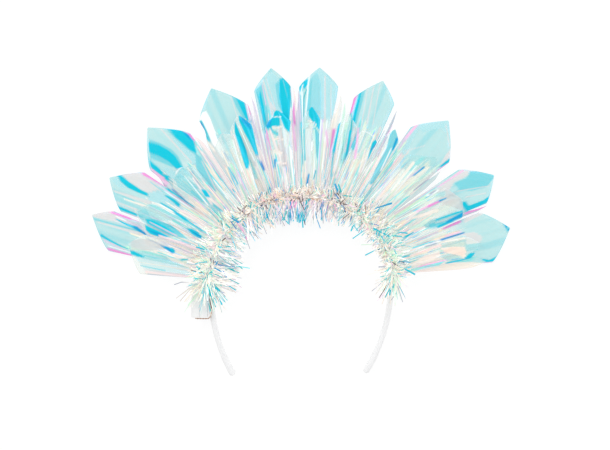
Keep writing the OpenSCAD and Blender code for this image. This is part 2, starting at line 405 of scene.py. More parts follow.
@dataclass(frozen=True)
class TinselFinish:
    """Cut foil strands: a tone for each strand, slightly metallic, with a crinkle along it.

    The strands glow faintly in their tones: a painted glow that lifts the shade between them.
    """

    metallic: float = 0.12
    roughness: float = 0.26
    haze: float = 0.2
    layer_nm: float = 380.0
    layer_ior: float = 1.5
    crinkle_per_m: float = 700.0
    crinkle_share: float = 0.3
    crinkle_m: float = 0.0002
    glow: float = 0.34

    def make(self) -> Material:
        """Build the node tree.

        Returns:
            The material.
        """
        graph = Graph("tinsel foil")
        paint = graph.node("ShaderNodeAttribute", {"attribute_name": STRAND_PAINT}, {})
        crinkle = graph.noise(graph.in_space(self.crinkle_per_m))
        return graph.surface({
            "Base Color": paint.outputs["Color"],
            # Painted glow: the strands shine faintly in their own tones, lifting the shade between them
            "Emission Color": paint.outputs["Color"],
            "Emission Strength": self.glow,
            "Metallic": self.metallic,
            "Roughness": self.roughness + self.haze * crinkle,
            "Thin Film Thickness": self.layer_nm,
            "Thin Film IOR": self.layer_ior,
            "Normal": graph.bump(crinkle, self.crinkle_share, self.crinkle_m),
        })


@dataclass(frozen=True)
class RibbonFinish:
    """White satin ribbon: long threads along the band, crossed by a fine weft."""

    warp_per_mm: float = 5.0
    weft_per_mm: float = 3.2
    one_band: float = 0.314
    warp_share: float = 0.7
    weft_share: float = 0.3
    warp_uneven: float = 0.4
    weft_uneven: float = 0.6
    slub_map: Range = (2.4, 0.12)
    slub_light: float = 0.55
    weave_light: float = 0.45
    dull: Colour = (0.86, 0.86, 0.87, 1.0)
    bright: Colour = (0.96, 0.96, 0.96, 1.0)
    roughness: float = 0.34
    haze: float = 0.16
    sheen: float = 0.25
    sheen_roughness: float = 0.35
    anisotropic: float = 0.5
    slub_rise: float = 0.4
    weave_rise: float = 0.8
    rise_share: float = 0.35
    rise_m: float = 0.00012

    def threads(self, graph: Graph, direction: str, distortion: float) -> Value:
        """Add a wave over the surface map, one to a thread.

        Args:
            graph: the ribbon's graph.
            direction: axis of the map that the waves run along, "X" or "Y".
            distortion: how uneven they are.

        Returns:
            The height of the wave, from 0 to 1.
        """
        settings = {"wave_type": "BANDS", "wave_profile": "SIN", "bands_direction": direction}
        place = graph.on_map(self.warp_per_mm, self.weft_per_mm)
        sockets = {"Vector": place, "Scale": self.one_band, "Distortion": distortion}
        return graph.number("ShaderNodeTexWave", settings, sockets, "Fac")

    def make(self) -> Material:
        """Build the node tree.

        Returns:
            The material.
        """
        graph = Graph("satin ribbon")
        warp = self.threads(graph, "X", self.warp_uneven)
        weft = self.threads(graph, "Y", self.weft_uneven)
        weave = self.warp_share * warp + self.weft_share * weft
        slubs = graph.noise(graph.on_map(*self.slub_map), detail=3.0)
        light = self.slub_light * slubs + self.weave_light * weave
        rise = self.weave_rise * weave + self.slub_rise * slubs
        return graph.surface({
            "Base Color": graph.blend(self.dull, self.bright, light),
            "Roughness": self.roughness + self.haze * slubs,
            "Sheen Weight": self.sheen,
            "Sheen Roughness": self.sheen_roughness,
            "Anisotropic": self.anisotropic,
            "Normal": graph.bump(rise, self.rise_share, self.rise_m),
        })


@dataclass(frozen=True)
class PlasticFinish:
    """Moulded plastic with a fine grain and faint clouds in its colour and gloss."""

    name: str
    tone: tuple[int, int, int]
    roughness: float = 0.36
    haze: float = 0.14
    specular: float = 0.45
    grain_per_m: float = 2600.0
    grain_share: float = 0.22
    grain_m: float = 0.00008
    cloud_per_m: float = 90.0
    shade: float = 0.93

    def make(self) -> Material:
        """Build the node tree.

        Returns:
            The material.
        """
        graph = Graph(self.name)
        colour = (np.asarray(self.tone, float) / 255.0) ** 2.2
        clouds = graph.noise(graph.in_space(self.cloud_per_m), detail=3.0)
        grain = graph.noise(graph.in_space(self.grain_per_m), detail=1.0)
        return graph.surface({
            "Base Color": graph.blend(opaque(colour * self.shade), opaque(colour), clouds),
            "Roughness": self.roughness + self.haze * clouds,
            "Specular IOR Level": self.specular,
            "Normal": graph.bump(grain, self.grain_share, self.grain_m),
        })


@dataclass(frozen=True)
class CopperFinish:
    """Lacquered copper wire with a slight tarnish."""

    bright: Colour = (0.76, 0.50, 0.36, 1.0)
    dull: Colour = (0.46, 0.30, 0.22, 1.0)
    roughness: float = 0.22
    haze: float = 0.25
    lacquer: float = 0.4
    tarnish_per_m: float = 260.0
    tarnish_share: float = 0.15
    tarnish_m: float = 0.0001

    def make(self) -> Material:
        """Build the node tree.

        Returns:
            The material.
        """
        graph = Graph("lacquered copper")
        tarnish = graph.noise(graph.in_space(self.tarnish_per_m), detail=3.0)
        return graph.surface({
            "Base Color": graph.blend(self.dull, self.bright, 1 - tarnish ** 2.0),
            "Metallic": 1.0,
            "Roughness": self.roughness + self.haze * tarnish,
            "Coat Weight": self.lacquer,
            "Normal": graph.bump(tarnish, self.tarnish_share, self.tarnish_m),
        })


@dataclass(frozen=True)
class ResinFinish:
    """Clear resin of a light drop, with a slight haze."""

    clear: Colour = (0.96, 0.98, 0.97, 1.0)
    milky: Colour = (0.90, 0.95, 0.95, 1.0)
    roughness: float = 0.04
    haze: float = 0.08
    haze_per_m: float = 500.0
    haze_share: float = 0.1
    haze_m: float = 0.0001
    ior: float = 1.46

    def make(self) -> Material:
        """Build the node tree.

        Returns:
            The material.
        """
        graph = Graph("clear resin")
        clouds = graph.noise(graph.in_space(self.haze_per_m))
        return graph.surface({
            "Base Color": graph.blend(self.clear, self.milky, clouds),
            "Roughness": self.roughness + self.haze * clouds,
            "Transmission Weight": 1.0,
            "IOR": self.ior,
            "Normal": graph.bump(clouds, self.haze_share, self.haze_m),
        })


@dataclass(frozen=True)
class FloorFinish:
    """Plain pale floor, lit from inside as a light table is, so that shadows stay faint."""

    dull: Colour = (0.93, 0.93, 0.93, 1.0)
    bright: Colour = (0.96, 0.96, 0.96, 1.0)
    cloud_per_m: float = 1.5
    glow: float = 0.74
    cloud_glow: float = 0.02
    brightness: float = 1.06

    def make(self) -> Material:
        """Build the node tree.

        Returns:
            The material.
        """
        graph = Graph("pale floor")
        clouds = graph.noise(graph.in_space(self.cloud_per_m))
        tint = graph.blend(self.dull, self.bright, clouds)
        matte = graph.node("ShaderNodeBsdfDiffuse", {}, {"Color": tint})
        white = {"Color": opaque((1, 1, 1)), "Strength": self.brightness}
        light = graph.node("ShaderNodeEmission", {}, white)
        share = self.glow + self.cloud_glow * clouds
        sockets = {0: share, 1: matte.outputs[0], 2: light.outputs[0]}
        return graph.finish(graph.node("ShaderNodeMixShader", {}, sockets).outputs[0])


# Meshes

def put(name: str, data: bpy.types.ID) -> Piece:
    """Add an object to the scene.

    Args:
        name: name of the object.
        data: its mesh, camera or light.

    Returns:
        The object.
    """
    made = bpy.data.objects.new(name, data)
    bpy.context.scene.collection.objects.link(made)
    return made


def shade_smooth(mesh: bpy.types.Mesh, crease: float) -> None:
    """Shade a mesh smooth, and keep edges over an angle in degrees sharp."""
    mesh.polygons.foreach_set("use_smooth", np.ones(len(mesh.polygons), bool))
    mesh.set_sharp_from_angle(angle=math.radians(crease))


@dataclass
class Shell:
    """Points, faces and surface measures of closed surfaces that are still being put together."""

    points: list[Array] = field(default_factory=list)
    faces: list[Array] = field(default_factory=list)
    measures: list[Array] = field(default_factory=list)
    paints: list[Array] = field(default_factory=list)
    slots: list[Array] = field(default_factory=list)
    count: int = 0

    def add(
        self, points: Array, faces: tuple[Array, ...], measures: Array | None = None,
        paint: Array | None = None, slot: int = 0,
    ) -> None:
        """Add one closed surface.

        Args:
            points: its points, in millimetres, three to a row.
            faces: arrays of faces, each with its own number of corners, as point numbers in rows.
            measures: two surface measures in millimetres for each point, or None.
            paint: a colour with its cover for each point, or None.
            slot: number of the material that its faces take.
        """
        self.points.append(points)
        self.measures.append(np.zeros((len(points), 2)) if measures is None else measures)
        self.paints.append(np.ones((len(points), 4)) if paint is None else paint)
        for part in faces:
            self.faces.append(part + self.count)
            self.slots.append(np.full(len(part), slot))
        self.count += len(points)

    def build(
        self, name: str, materials: list[Material], crease: float, paint_name: str = "",
    ) -> Piece:
        """Make the object from what was added.

        Args:
            name: name of the object.
            materials: its materials, in the order of the slots.
            crease: edges over this angle, in degrees, stay sharp.
            paint_name: name of the colour attribute, or nothing where nothing is painted.

        Returns:
            The object.
        """
        points = np.concatenate(self.points) * MM
        corners = np.concatenate([part.ravel() for part in self.faces])
        sizes = np.concatenate([np.full(len(part), part.shape[1]) for part in self.faces])
        starts = np.concatenate([[0], np.cumsum(sizes)[:-1]])
        mesh = bpy.data.meshes.new(name)
        mesh.vertices.add(len(points))
        mesh.vertices.foreach_set("co", points.ravel())
        mesh.loops.add(len(corners))
        mesh.loops.foreach_set("vertex_index", corners.astype(np.int32))
        mesh.polygons.add(len(sizes))
        mesh.polygons.foreach_set("loop_start", starts.astype(np.int32))
        mesh.polygons.foreach_set("material_index", np.concatenate(self.slots).astype(np.int32))
        mesh.update(calc_edges=True)
        layer = mesh.uv_layers.new(name=SURFACE_MAP)
        layer.data.foreach_set("uv", np.concatenate(self.measures)[corners].astype(np.float32).ravel())
        if paint_name:
            paint = mesh.attributes.new(paint_name, "FLOAT_COLOR", "POINT")
            paint.data.foreach_set("color", np.concatenate(self.paints).astype(np.float32).ravel())
        shade_smooth(mesh, crease)
        mesh.validate()
        for material in materials:
            mesh.materials.append(material)
        return put(name, mesh)


def grid_faces(rows: int, columns: int) -> Array:
    """Return the faces of a grid of points: the corners of each cell, counter-clockwise."""
    first = (np.arange(rows - 1)[:, None] * columns + np.arange(columns - 1)).ravel()
    return np.stack([first, first + 1, first + columns + 1, first + columns], axis=1)


def ring_faces(rows: int, columns: int) -> Array:
    """Work out the faces between closed rings of points, where each ring is a row.

    Args:
        rows: number of rings.
        columns: number of points in each ring.

    Returns:
        The corners of each face: two on one ring, then the two beside them on the next ring.
    """
    row = np.arange(rows - 1)[:, None] * columns
    here = (row + np.arange(columns)).ravel()
    there = (row + (np.arange(columns) + 1) % columns).ravel()
    return np.stack([here, there, there + columns, here + columns], axis=1)


def between(front: Array, back: Array) -> tuple[Array, Array]:
    """Make a closed body between two grids of points, with a wall that joins their edges.

    Args:
        front: the front surface, rows by columns by three.
        back: the back surface, with as many points.

    Returns:
        Its points and its faces.
    """
    rows, columns = front.shape[:2]
    faces = grid_faces(rows, columns)
    under = rows * columns
    edge = np.concatenate([
        np.arange(columns),
        np.arange(1, rows) * columns + columns - 1,
        (rows - 1) * columns + np.arange(columns - 2, -1, -1),
        np.arange(rows - 2, 0, -1) * columns,
    ])
    after = np.roll(edge, -1)
    wall = np.stack([edge, edge + under, after + under, after], axis=1)
    points = np.concatenate([front.reshape(-1, 3), back.reshape(-1, 3)])
    return points, np.concatenate([faces, faces[:, ::-1] + under, wall])


def closed_rings(rings: Array, poles: Array) -> tuple[Array, tuple[Array, Array]]:
    """Close a stack of rings with a fan of triangles to a pole at each end.

    Args:
        rings: the points, rings by columns by three, clockwise as seen along the stack.
        poles: the point before the first ring, and the one after the last ring.

    Returns:
        The points, and the faces with four corners and with three.
    """
    rows, columns = rings.shape[:2]
    now = np.arange(columns)
    following = (now + 1) % columns
    last = (rows - 1) * columns
    pole = np.full(columns, rows * columns)
    ends = np.concatenate([
        np.stack([following, now, pole], axis=1), np.stack([last + now, last + following, pole + 1], axis=1),
    ])
    return np.concatenate([rings.reshape(-1, 3), poles]), (ring_faces(rows, columns), ends)


def across_path(path: Array) -> tuple[Array, Array]:
    """Work out two directions square to a path at each of its points.

    Args:
        path: points of the path.

    Returns:
        The direction that lies level, and the one square to it and to the path.
    """
    heading = unit(np.gradient(path, axis=0))
    side = unit(np.cross(heading, UP + 1e-4))
    return side, np.cross(heading, side)


def tube(path: Array, radius: float, sides: int) -> tuple[Array, tuple[Array, Array]]:
    """Sweep a round section along a path, with closed ends.

    Each ring lies at the path's point plus the radius times (side cosine + over sine), where
    side and over are square to the path.

    Args:
        path: points of the path.
        radius: radius of the section.
        sides: number of sides of the section.

    Returns:
        The points, and the faces with four corners and with three.
    """
    side, over = across_path(path)
    turn = (np.arange(sides) * 2 * np.pi / sides)[:, None]
    ring = side[:, None] * np.cos(turn) + over[:, None] * np.sin(turn)
    return closed_rings(path[:, None] + radius * ring, path[[0, -1]])


def travelled(path: Array) -> Array:
    """Return how far along a line each of its points lies."""
    return np.append(0.0, np.cumsum(np.linalg.norm(np.diff(path, axis=0), axis=1)))


def smooth_path(corners: Array, step: float, rounds: int) -> Array:
    """Round off a line of points: spread points evenly along it, then average neighbours.

    Args:
        corners: points of the line.
        step: distance between the new points.
        rounds: how often each point moves to the average of itself, twice, and its neighbours.

    Returns:
        The new points.
    """
    reach = travelled(corners)
    even = np.linspace(0.0, reach[-1], int(reach[-1] / step) + 1)
    path = np.stack([np.interp(even, reach, corners[:, axis]) for axis in range(3)], axis=1)
    for _ in range(rounds):
        path[1:-1] = (path[:-2] + 2 * path[1:-1] + path[2:]) / 4
    return path


def settle(piece: Piece, body: Body, slot: Slot, node: str) -> None:
    """Fix a piece to its body and hide the CAD node that it stands for.

    Args:
        piece: the object.
        body: body that it rides on.
        slot: material slot of the record; not used.
        node: CAD node that it stands for.
    """
    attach(piece, body.value)
    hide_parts(node)
    triangles = sum(len(face.vertices) - 2 for face in piece.data.polygons)
    log.info("%s: %d triangles, rides on %s", piece.name, triangles, body.value)


# Petals

@dataclass(frozen=True)
class Line:
    """A line of colour on the film, from one pixel of the photograph to another.

    Its widths are in pixels too, at its start and at its end, and so is how far its middle bows
    to the right of the way it runs.
    """

    tone: Tone
    start_x: float
    start_y: float
    end_x: float
    end_y: float
    start_w: float
    end_w: float
    bow: float = 0.0

    def mask(self, pixels: Array) -> Array:
        """Work out how much of the line covers each point.

        The line's middle is a parabola over its chord. The share falls from 1 to 0 at half the
        width from it, over about a pixel where the line is narrow and more where it is wide.
        Both ends are round.

        Args:
            pixels: the points, in pixels of the photograph.

        Returns:
            A number between 0 and 1 for each point.
        """
        start = np.array([self.start_x, self.start_y])
        run = np.array([self.end_x, self.end_y]) - start
        length = np.hypot(*run)
        ahead = run / length
        along = (pixels - start) @ ahead
        across = (pixels - start) @ np.array([-ahead[1], ahead[0]])
        share = np.clip(along / length, 0.0, 1.0)
        away = np.hypot(along - share * length, across - 4 * self.bow * share * (1 - share))
        width = mix(self.start_w, self.end_w, share)
        soft = 0.4 + 0.09 * width
        return 1.0 - smooth_step(-soft, soft, away - width / 2)


class Patch:
    """An area of colour on the film, with its corners in pixels of the photograph."""

    soft = 0.55

    def __init__(self, tone: Tone, *corners: float) -> None:
        """Keep the tone and the corners, two numbers to a corner."""
        self.tone = tone
        self.corners = np.reshape(np.array(corners, float), (-1, 2))

    def mask(self, pixels: Array) -> Array:
        """Work out how much of the area covers each point.

        A point is inside where a ray from it crosses the outline an odd number of times. The
        share runs from 1 to 0 across the outline, over the patch's softness on either side.

        Args:
            pixels: the points, in pixels of the photograph.

        Returns:
            A number between 0 and 1 for each point.
        """
        inside = np.zeros(pixels.shape[:-1], bool)
        away = np.full(pixels.shape[:-1], 1e6)
        for here, there in zip(self.corners, np.roll(self.corners, -1, axis=0)):
            run = there - here
            share = np.clip((pixels - here) @ run / (run @ run), 0.0, 1.0)
            away = np.minimum(away, np.linalg.norm(pixels - here - run * share[..., None], axis=-1))
            level = (here[1] > pixels[..., 1]) != (there[1] > pixels[..., 1])
            height = np.where(run[1] == 0, 1.0, run[1])
            crossing = here[0] + run[0] * (pixels[..., 1] - here[1]) / height
            inside ^= level & (pixels[..., 0] < crossing)
        return smooth_step(-self.soft, self.soft, np.where(inside, away, -away))


@dataclass(frozen=True)
class Petal:
    """One petal: its foot, tip and shoulders, and the marks of colour on it.

    Foot and tip are angles on the band. The shoulders are given as their distance from the
    petal's axis and their height as a share of its length, on the left and on the right.
    """

    foot: float
    tip: float
    extra: float
    left: float
    left_at: float
    right: float
    right_at: float
    marks: tuple[Line | Patch, ...]


@dataclass(frozen=True)
class Sliver:
    """A narrow folded edge of film that shows between two petals: its tip in pixels."""

    petal: int
    tip_x: float
    tip_y: float
    foot: float
    half_w: float
    tone: Tone
    line: Tone
    rows: int = 57
    columns: int = 13
    slant: float = 0.86
    below: float = 1.5
    pleat: float = 0.5
    lift: float = 0.6
    cover: float = 0.5
    line_cover: float = 0.55
    line_at: float = 0.3
    line_edge: Range = (0.25, 0.6)
    wide_at: tuple[float, ...] = (0, 0.75, 0.9, 1)
    wide: tuple[float, ...] = (0.35, 1, 0.8, 0.06)


class Paint:
    """Tone, cover and relief of a sheet of film, laid on in layers."""

    mist_cover = 0.3
    face_from = (0.42, 0.7)

    def __init__(self, lane: Array, share: Array, face: Tone, cover: float) -> None:
        """Start with mist at the foot and the face's tone from the shoulders on.

        Args:
            lane: lane along the sheet that each point lies in.
            share: how far up the sheet each point lies, as a share of its length.
            face: tone of the sheet's face.
            cover: how opaque the face is.
        """
        rise = smooth_step(*self.face_from, share)
        self.lane = lane
        self.share = share
        self.tone = mix(Tone.MIST.linear, face.linear, rise[..., None])
        self.cover = mix(self.mist_cover, cover, rise)
        self.relief = np.zeros(share.shape)

    def lay(self, mask: Array, tone: Tone, cover: float, rise: float, depth: float = 1.0) -> None:
        """Lay one tone over what is there.

        Args:
            mask: how much of it covers each point.
            tone: the tone.
            cover: how opaque the film is there.
            rise: how far the film rises there, in millimetres.
            depth: gain of the tone's colour over its grey.
        """
        self.tone = mix(self.tone, deepen(tone.linear, depth), mask[..., None])
        self.cover = mix(self.cover, cover, mask)
        self.relief = self.relief + rise * mask

    @property
    def colours(self) -> Array:
        """Tone and cover of each point, four numbers to a row."""
        return np.concatenate([self.tone, self.cover[..., None]], axis=-1).reshape(-1, 4)


# Tones in a petal's lower half: on the broad facets between two creases, on the fine streaks,
# on the deep dashes and on the specks at the foot. They paint the film's iridescent reflections,
# and the white streaks and specks are painted highlights
FACET_TONES = Palette(
    MIST=0.24, SILVER=0.22, PALE=0.17, WHITE=0.08, CREAM=0.09, BLUSH=0.07, MINT=0.05, ICE=0.06, LILAC=0.02,
)
STREAK_TONES = Palette(
    CREAM=0.17, BLUSH=0.14, SILVER=0.12, PALE=0.11, WHITE=0.22, SKY=0.05, LILAC=0.05, MINT=0.05, PINK=0.02,
    CYAN=0.01, STEEL=0.06,
)
DEEP_TONES = (Tone.CYAN, Tone.CYAN, Tone.AZURE, Tone.SKY, Tone.BLUE)
FOOT_TONES = Palette(
    WHITE=0.28, ICE=0.2, STEEL=0.14, BLUSH=0.12, BEIGE=0.1, MINT=0.07, SKY=0.05, TEAL=0.04,
)

# Rows of a petal's grid that lie on its shoulders and at its tip, where row 0 lies on its foot
SHOULDER_ROW = 4
TIP_ROW = 7


def climb(row: Array) -> tuple[Array, Array]:
    """Return how far up a row lies from the foot to the shoulders, and from there to the tip."""
    high = (row - SHOULDER_ROW) / (TIP_ROW - SHOULDER_ROW)
    return np.minimum(row / SHOULDER_ROW, 1.0), np.maximum(high, 0.0)


@dataclass
class PetalRow:
    """A row of pleated film petals that fan out from the band.

    Places along a petal are shares of its length, and places and widths across it are shares of
    its half width.
    """

    name: str
    reach: float
    foot_radius: float
    foot_half: float
    z: float
    lift: float
    seed: int
    petals: tuple[Petal, ...]
    slivers: tuple[Sliver, ...] = ()
    face: Tone = Tone.PALE
    cover: float = 0.45
    # Tone of the painted rim reflection along the upper edges
    rim: Tone = Tone.SKY
    columns: int = 96
    lower_rows: int = 40
    upper_rows: int = 16
    facets: int = 18
    streaks: int = 46
    dashes: int = 6
    specks: int = 40
    pleats: int = 8
    pleat: float = 0.9
    depth: float = 1.9
    bow: float = 2.0
    taper: float = 1.25
    blunt: float = 0.4
    film: float = 0.16
    mark_rise: float = 0.15
    facet_half: Range = (0.05, 0.16)
    facet_start: Range = (-0.2, 0.35)
    facet_end: Range = (0.42, 0.7)
    facet_slant: Range = (-0.35, 0.35)
    facet_cover: Range = (0.45, 0.75)
    facet_fade: Range = (0.02, 0.015)
    facet_soft: float = 0.012
    facet_rise: float = 0.1
    streak_start: Range = (-0.1, 0.35)
    streak_long: Range = (0.22, 0.55)
    streak_end: Range = (0.5, 0.76)
    streak_wide: Range = (0.018, 0.05)
    streak_cover: Range = (0.6, 0.9)
    streak_strength: Range = (0.7, 1.0)
    streak_fade: Range = (0.03, 0.02)
    streak_drift: float = 0.03
    streak_point: float = 0.14
    streak_rise: float = 0.16
    dash_long: Range = (0.05, 0.16)
    dash_wide: Range = (0.014, 0.04)
    dash_fade: Range = (0.02, 0.01)
    dash_spread: float = 0.36
    dash_point: float = 0.08
    dash_cover: float = 0.85
    dash_rise: float = 0.12
    side_fade: Range = (0.5, 1.15)
    dash_from: float = 0.14
    speck_from: float = -0.02
    glint: float = 0.45
    glint_cover: float = 0.6
    glint_rates: Range = (4.3, 9.1)
    glint_from: Range = (0.35, 0.8)
    edge: float = 0.7
    edge_cover: float = 0.75
    edge_across: Range = (0.95, 0.99)
    edge_from: Range = (0.6, 0.75)
    edge_flat: float = 0.05
    upper_pleat: float = 0.22
    uneven: float = 0.35
    uneven_rate: float = 2.6
    lane_mm: float = 14.0
    length_mm: float = 100.0
    crease: float = 40.0

    def plan(self, petal: Petal, u: Array, row: Array) -> tuple[Array, Array, Array]:
        """Work out where a petal's points lie in plan.

        Below the shoulders a point lies on the straight line from the arc of the foot to the
        line between the shoulders. Above them the width shrinks with the height to the power of
        the taper, down to a blunt tip.

        Args:
            petal: the petal.
            u: place across it, from 1 at the left edge to -1 at the right edge.
            row: place along it.

        Returns:
            The points, how far up the petal each lies as a share of its length, and the lane that
            it lies in: u below the shoulders, and straight lines along the petal above them.
        """
        foot = polar(self.foot_radius, petal.foot)
        tip = polar(self.reach + petal.extra, petal.tip)
        length = np.hypot(*(tip - foot))
        along = (tip - foot) / length
        across = np.array([-along[1], along[0]])
        low, high = climb(row)
        on_foot = polar(self.foot_radius, petal.foot + u * self.foot_half)
        height = mix(mix(petal.right_at, petal.left_at, (u + 1) / 2), 1.0, high) * length
        shoulder = np.where(u > 0, petal.left, petal.right)
        width = u * (shoulder * (1 - high ** self.taper) + self.blunt * high)
        on_top = foot + along * height[..., None] + across * width[..., None]
        plan = mix(on_foot, on_top, low[..., None])
        lane = np.where(high > 0, width / shoulder, u)
        return plan, (plan - foot) @ along / length, lane

    def facet(self, paint: Paint, rng: Rng) -> None:
        """Lay one broad facet that runs up from the foot and ends in a slant.

        Args:
            paint: the film's paint.
            rng: the petal's random numbers.
        """
        tone = FACET_TONES.draw(rng)
        centre = rng.uniform(-1, 1)
        half = rng.uniform(*self.facet_half)
        end = rng.uniform(*self.facet_end) + rng.uniform(*self.facet_slant) * (paint.lane - centre)
        start = rng.uniform(*self.facet_start)
        away = np.abs(paint.lane - centre) - half
        inside = 1 - smooth_step(-self.facet_soft, self.facet_soft, away)
        mask = inside * window(start, end, *self.facet_fade, paint.share)
        cover = mix(*self.facet_cover, rng.random())
        paint.lay(mask, tone, cover, rng.normal(0, self.facet_rise), self.depth)

    def streak(self, paint: Paint, rng: Rng) -> None:
        """Lay one fine streak that runs up the film and tapers to a point.

        Args:
            paint: the film's paint.
            rng: the petal's random numbers.
        """
        tone = STREAK_TONES.draw(rng)
        start = rng.uniform(*self.streak_start)
        end = min(start + rng.uniform(*self.streak_long), rng.uniform(*self.streak_end))
        centre = rng.uniform(-1, 1) + rng.normal(0, self.streak_drift) * paint.share
        point = np.clip((end - paint.share) / self.streak_point, 0.02, 1.0) ** 0.6
        width = rng.uniform(*self.streak_wide) * point
        inside = 1 - smooth_step(*self.side_fade, np.abs(paint.lane - centre) / width)
        mask = inside * window(start, end, *self.streak_fade, paint.share)
        mask = mask * rng.uniform(*self.streak_strength)
        cover = mix(*self.streak_cover, rng.random())
        paint.lay(mask, tone, cover, rng.normal(0, self.streak_rise), self.depth)

    def dash(self, paint: Paint, tone: Tone, low: float, rng: Rng) -> None:
        """Lay one short dash, as the pleats near the foot show.

        Args:
            paint: the film's paint.
            tone: tone of the dash.
            low: least place along the petal that it starts at.
            rng: the petal's random numbers.
        """
        start = rng.uniform(low, low + self.dash_spread)
        end = start + rng.uniform(*self.dash_long)
        point = np.clip((end - paint.share) / self.dash_point, 0.02, 1.0)
        width = rng.uniform(*self.dash_wide) * point
        centre = rng.uniform(-0.95, 0.95)
        inside = 1 - smooth_step(*self.side_fade, np.abs(paint.lane - centre) / width)
        mask = inside * window(start, end, *self.dash_fade, paint.share)
        paint.lay(mask, tone, self.dash_cover, rng.normal(0, self.dash_rise), self.depth)

    def dress(self, paint: Paint, petal: Petal, plan: Array, u: Array, rng: Rng) -> None:
        """Paint a petal: broad facets, fine streaks, dashes, then its own marks.

        Args:
            paint: the film's paint.
            petal: the petal.
            plan: its points in plan.
            u: place across it of each point.
            rng: the petal's random numbers.
        """
        first, second = (np.sin(rate * paint.lane + rng.uniform(0, 6)) for rate in self.glint_rates)
        glints = smooth_step(0.5, 0.9, 0.5 + 0.5 * first * second)
        glints = self.glint * glints * smooth_step(*self.glint_from, paint.share)
        paint.lay(glints, Tone.SKY, self.glint_cover, 0.1)
        for _ in range(self.facets):
            self.facet(paint, rng)
        for _ in range(self.streaks):
            self.streak(paint, rng)
        for _ in range(self.dashes):
            self.dash(paint, DEEP_TONES[rng.integers(len(DEEP_TONES))], self.dash_from, rng)
        for _ in range(self.specks):
            self.dash(paint, FOOT_TONES.draw(rng), self.speck_from, rng)
        # Painted rim reflection along the upper edges: a deeper cyan line on the back row, a pale highlight
        # line on the middle and front rows
        edge = smooth_step(*self.edge_across, np.abs(u)) * smooth_step(*self.edge_from, paint.share)
        paint.lay(self.edge * edge, self.rim, self.edge_cover, 0.0)
        pixels = to_pixels(plan)
        for mark in petal.marks:
            rise = rng.choice([-self.mark_rise, self.mark_rise])
            paint.lay(mark.mask(pixels), mark.tone, mark.tone.cover, rise)

    def height(self, u: Array, row: Array, rng: Rng) -> Array:
        """Work out a petal's height.

        It lifts with the square of the place along it, bows over its middle, and rises and
        falls in uneven pleats that flatten out towards the shoulders.

        Args:
            u: place across the petal.
            row: place along it.
            rng: the petal's random numbers, for the uneven steps of the pleats.

        Returns:
            The height of the middle surface.
        """
        place = row / TIP_ROW
        low, high = climb(row)
        uneven = self.uneven * np.sin(self.uneven_rate * u + rng.uniform(0, 6)) * (1 - u * u)
        folds = zigzag((u + 1) * self.pleats / 2 + uneven)
        pleat = self.pleat * mix(1.0, self.upper_pleat, low) * (1 - high) * folds
        return self.z + self.lift * place * place + self.bow * (1 - u * u) * place * (1 - high) + pleat

    def add_film(
        self, shell: Shell, plan: Array, height: Array, measures: list[Array], paint: Paint,
    ) -> None:
        """Add a closed sheet of film, painted alike on both sides.

        Args:
            shell: the petal's shell.
            plan: points of its middle surface in plan.
            height: their heights.
            measures: two measures of the surface at each point.
            paint: its paint.
        """
        middle = np.concatenate([plan, height[..., None]], axis=-1)
        points, faces = between(middle + UP * self.film / 2, middle - UP * self.film / 2)
        flat = np.stack(measures, axis=-1).reshape(-1, 2)
        shell.add(points, (faces,), np.tile(flat, (2, 1)), np.tile(paint.colours, (2, 1)))

    def add_sliver(self, shell: Shell, petal: Petal, sliver: Sliver) -> None:
        """Add a folded edge of film beside a petal, with the marks that reach it.

        Its half width grows from the foot to three quarters of its length, then shrinks to a
        point. Its left edge is the shorter one, and it lies just under the petals.

        Args:
            shell: the petal's shell.
            petal: the petal.
            sliver: the folded edge.
        """
        foot = polar(self.foot_radius, sliver.foot)
        run = to_plan((sliver.tip_x, sliver.tip_y)) - foot
        length = np.hypot(*run)
        side = np.array([-run[1], run[0]]) / length
        along, across = np.linspace(0, 1, sliver.rows), np.linspace(1, -1, sliver.columns)
        share, v = np.meshgrid(along, across, indexing="ij")
        width = v * sliver.half_w * np.interp(share, sliver.wide_at, sliver.wide)
        reach = share * mix(1.0, sliver.slant, (v + 1) / 2)
        plan = foot + run * reach[..., None] + side * width[..., None]
        height = self.z - sliver.below + sliver.pleat * zigzag(2 * v) * (1 - share) + sliver.lift * share
        paint = Paint(v, share, sliver.tone, sliver.cover)
        beside = smooth_step(*sliver.line_edge, np.abs(v - sliver.line_at))
        paint.lay(beside, sliver.line, sliver.line_cover, 0.0)
        pixels = to_pixels(plan)
        for mark in petal.marks:
            paint.lay(mark.mask(pixels), mark.tone, mark.tone.cover, 0.0)
        self.add_film(shell, plan, height, [width, share * length], paint)

    def build(self, material: Material) -> None:
        """Make every petal of the row.

        Args:
            material: the film.
        """
        lower = np.linspace(0, SHOULDER_ROW, self.lower_rows + 1)
        upper = np.linspace(SHOULDER_ROW, TIP_ROW, self.upper_rows + 1)[1:]
        across = np.linspace(1, -1, self.columns + 1)
        row, u = np.meshgrid(np.concatenate([lower, upper]), across, indexing="ij")
        for number, petal in enumerate(self.petals, 1):
            rng = np.random.default_rng(self.seed + number - 1)
            plan, share, lane = self.plan(petal, u, row)
            paint = Paint(lane, share, self.face, self.cover)
            self.dress(paint, petal, plan, u, rng)
            relief = paint.relief * smooth_step(0.0, self.edge_flat, 1 - np.abs(u))
            height = self.height(u, row, rng) + relief
            measures = [lane * self.lane_mm, share * self.length_mm]
            shell = Shell()
            self.add_film(shell, plan, height, measures, paint)
            for sliver in self.slivers:
                if sliver.petal == number:
                    self.add_sliver(shell, petal, sliver)
            piece = shell.build(f"film_{self.name}_{number}", [material], self.crease, FILM_PAINT)
            settle(piece, Body.TIARA, Slot.FILM, f"{self.name}_{number}")


# Marks of colour on the petals, as the photograph shows them. They are laid in this order.

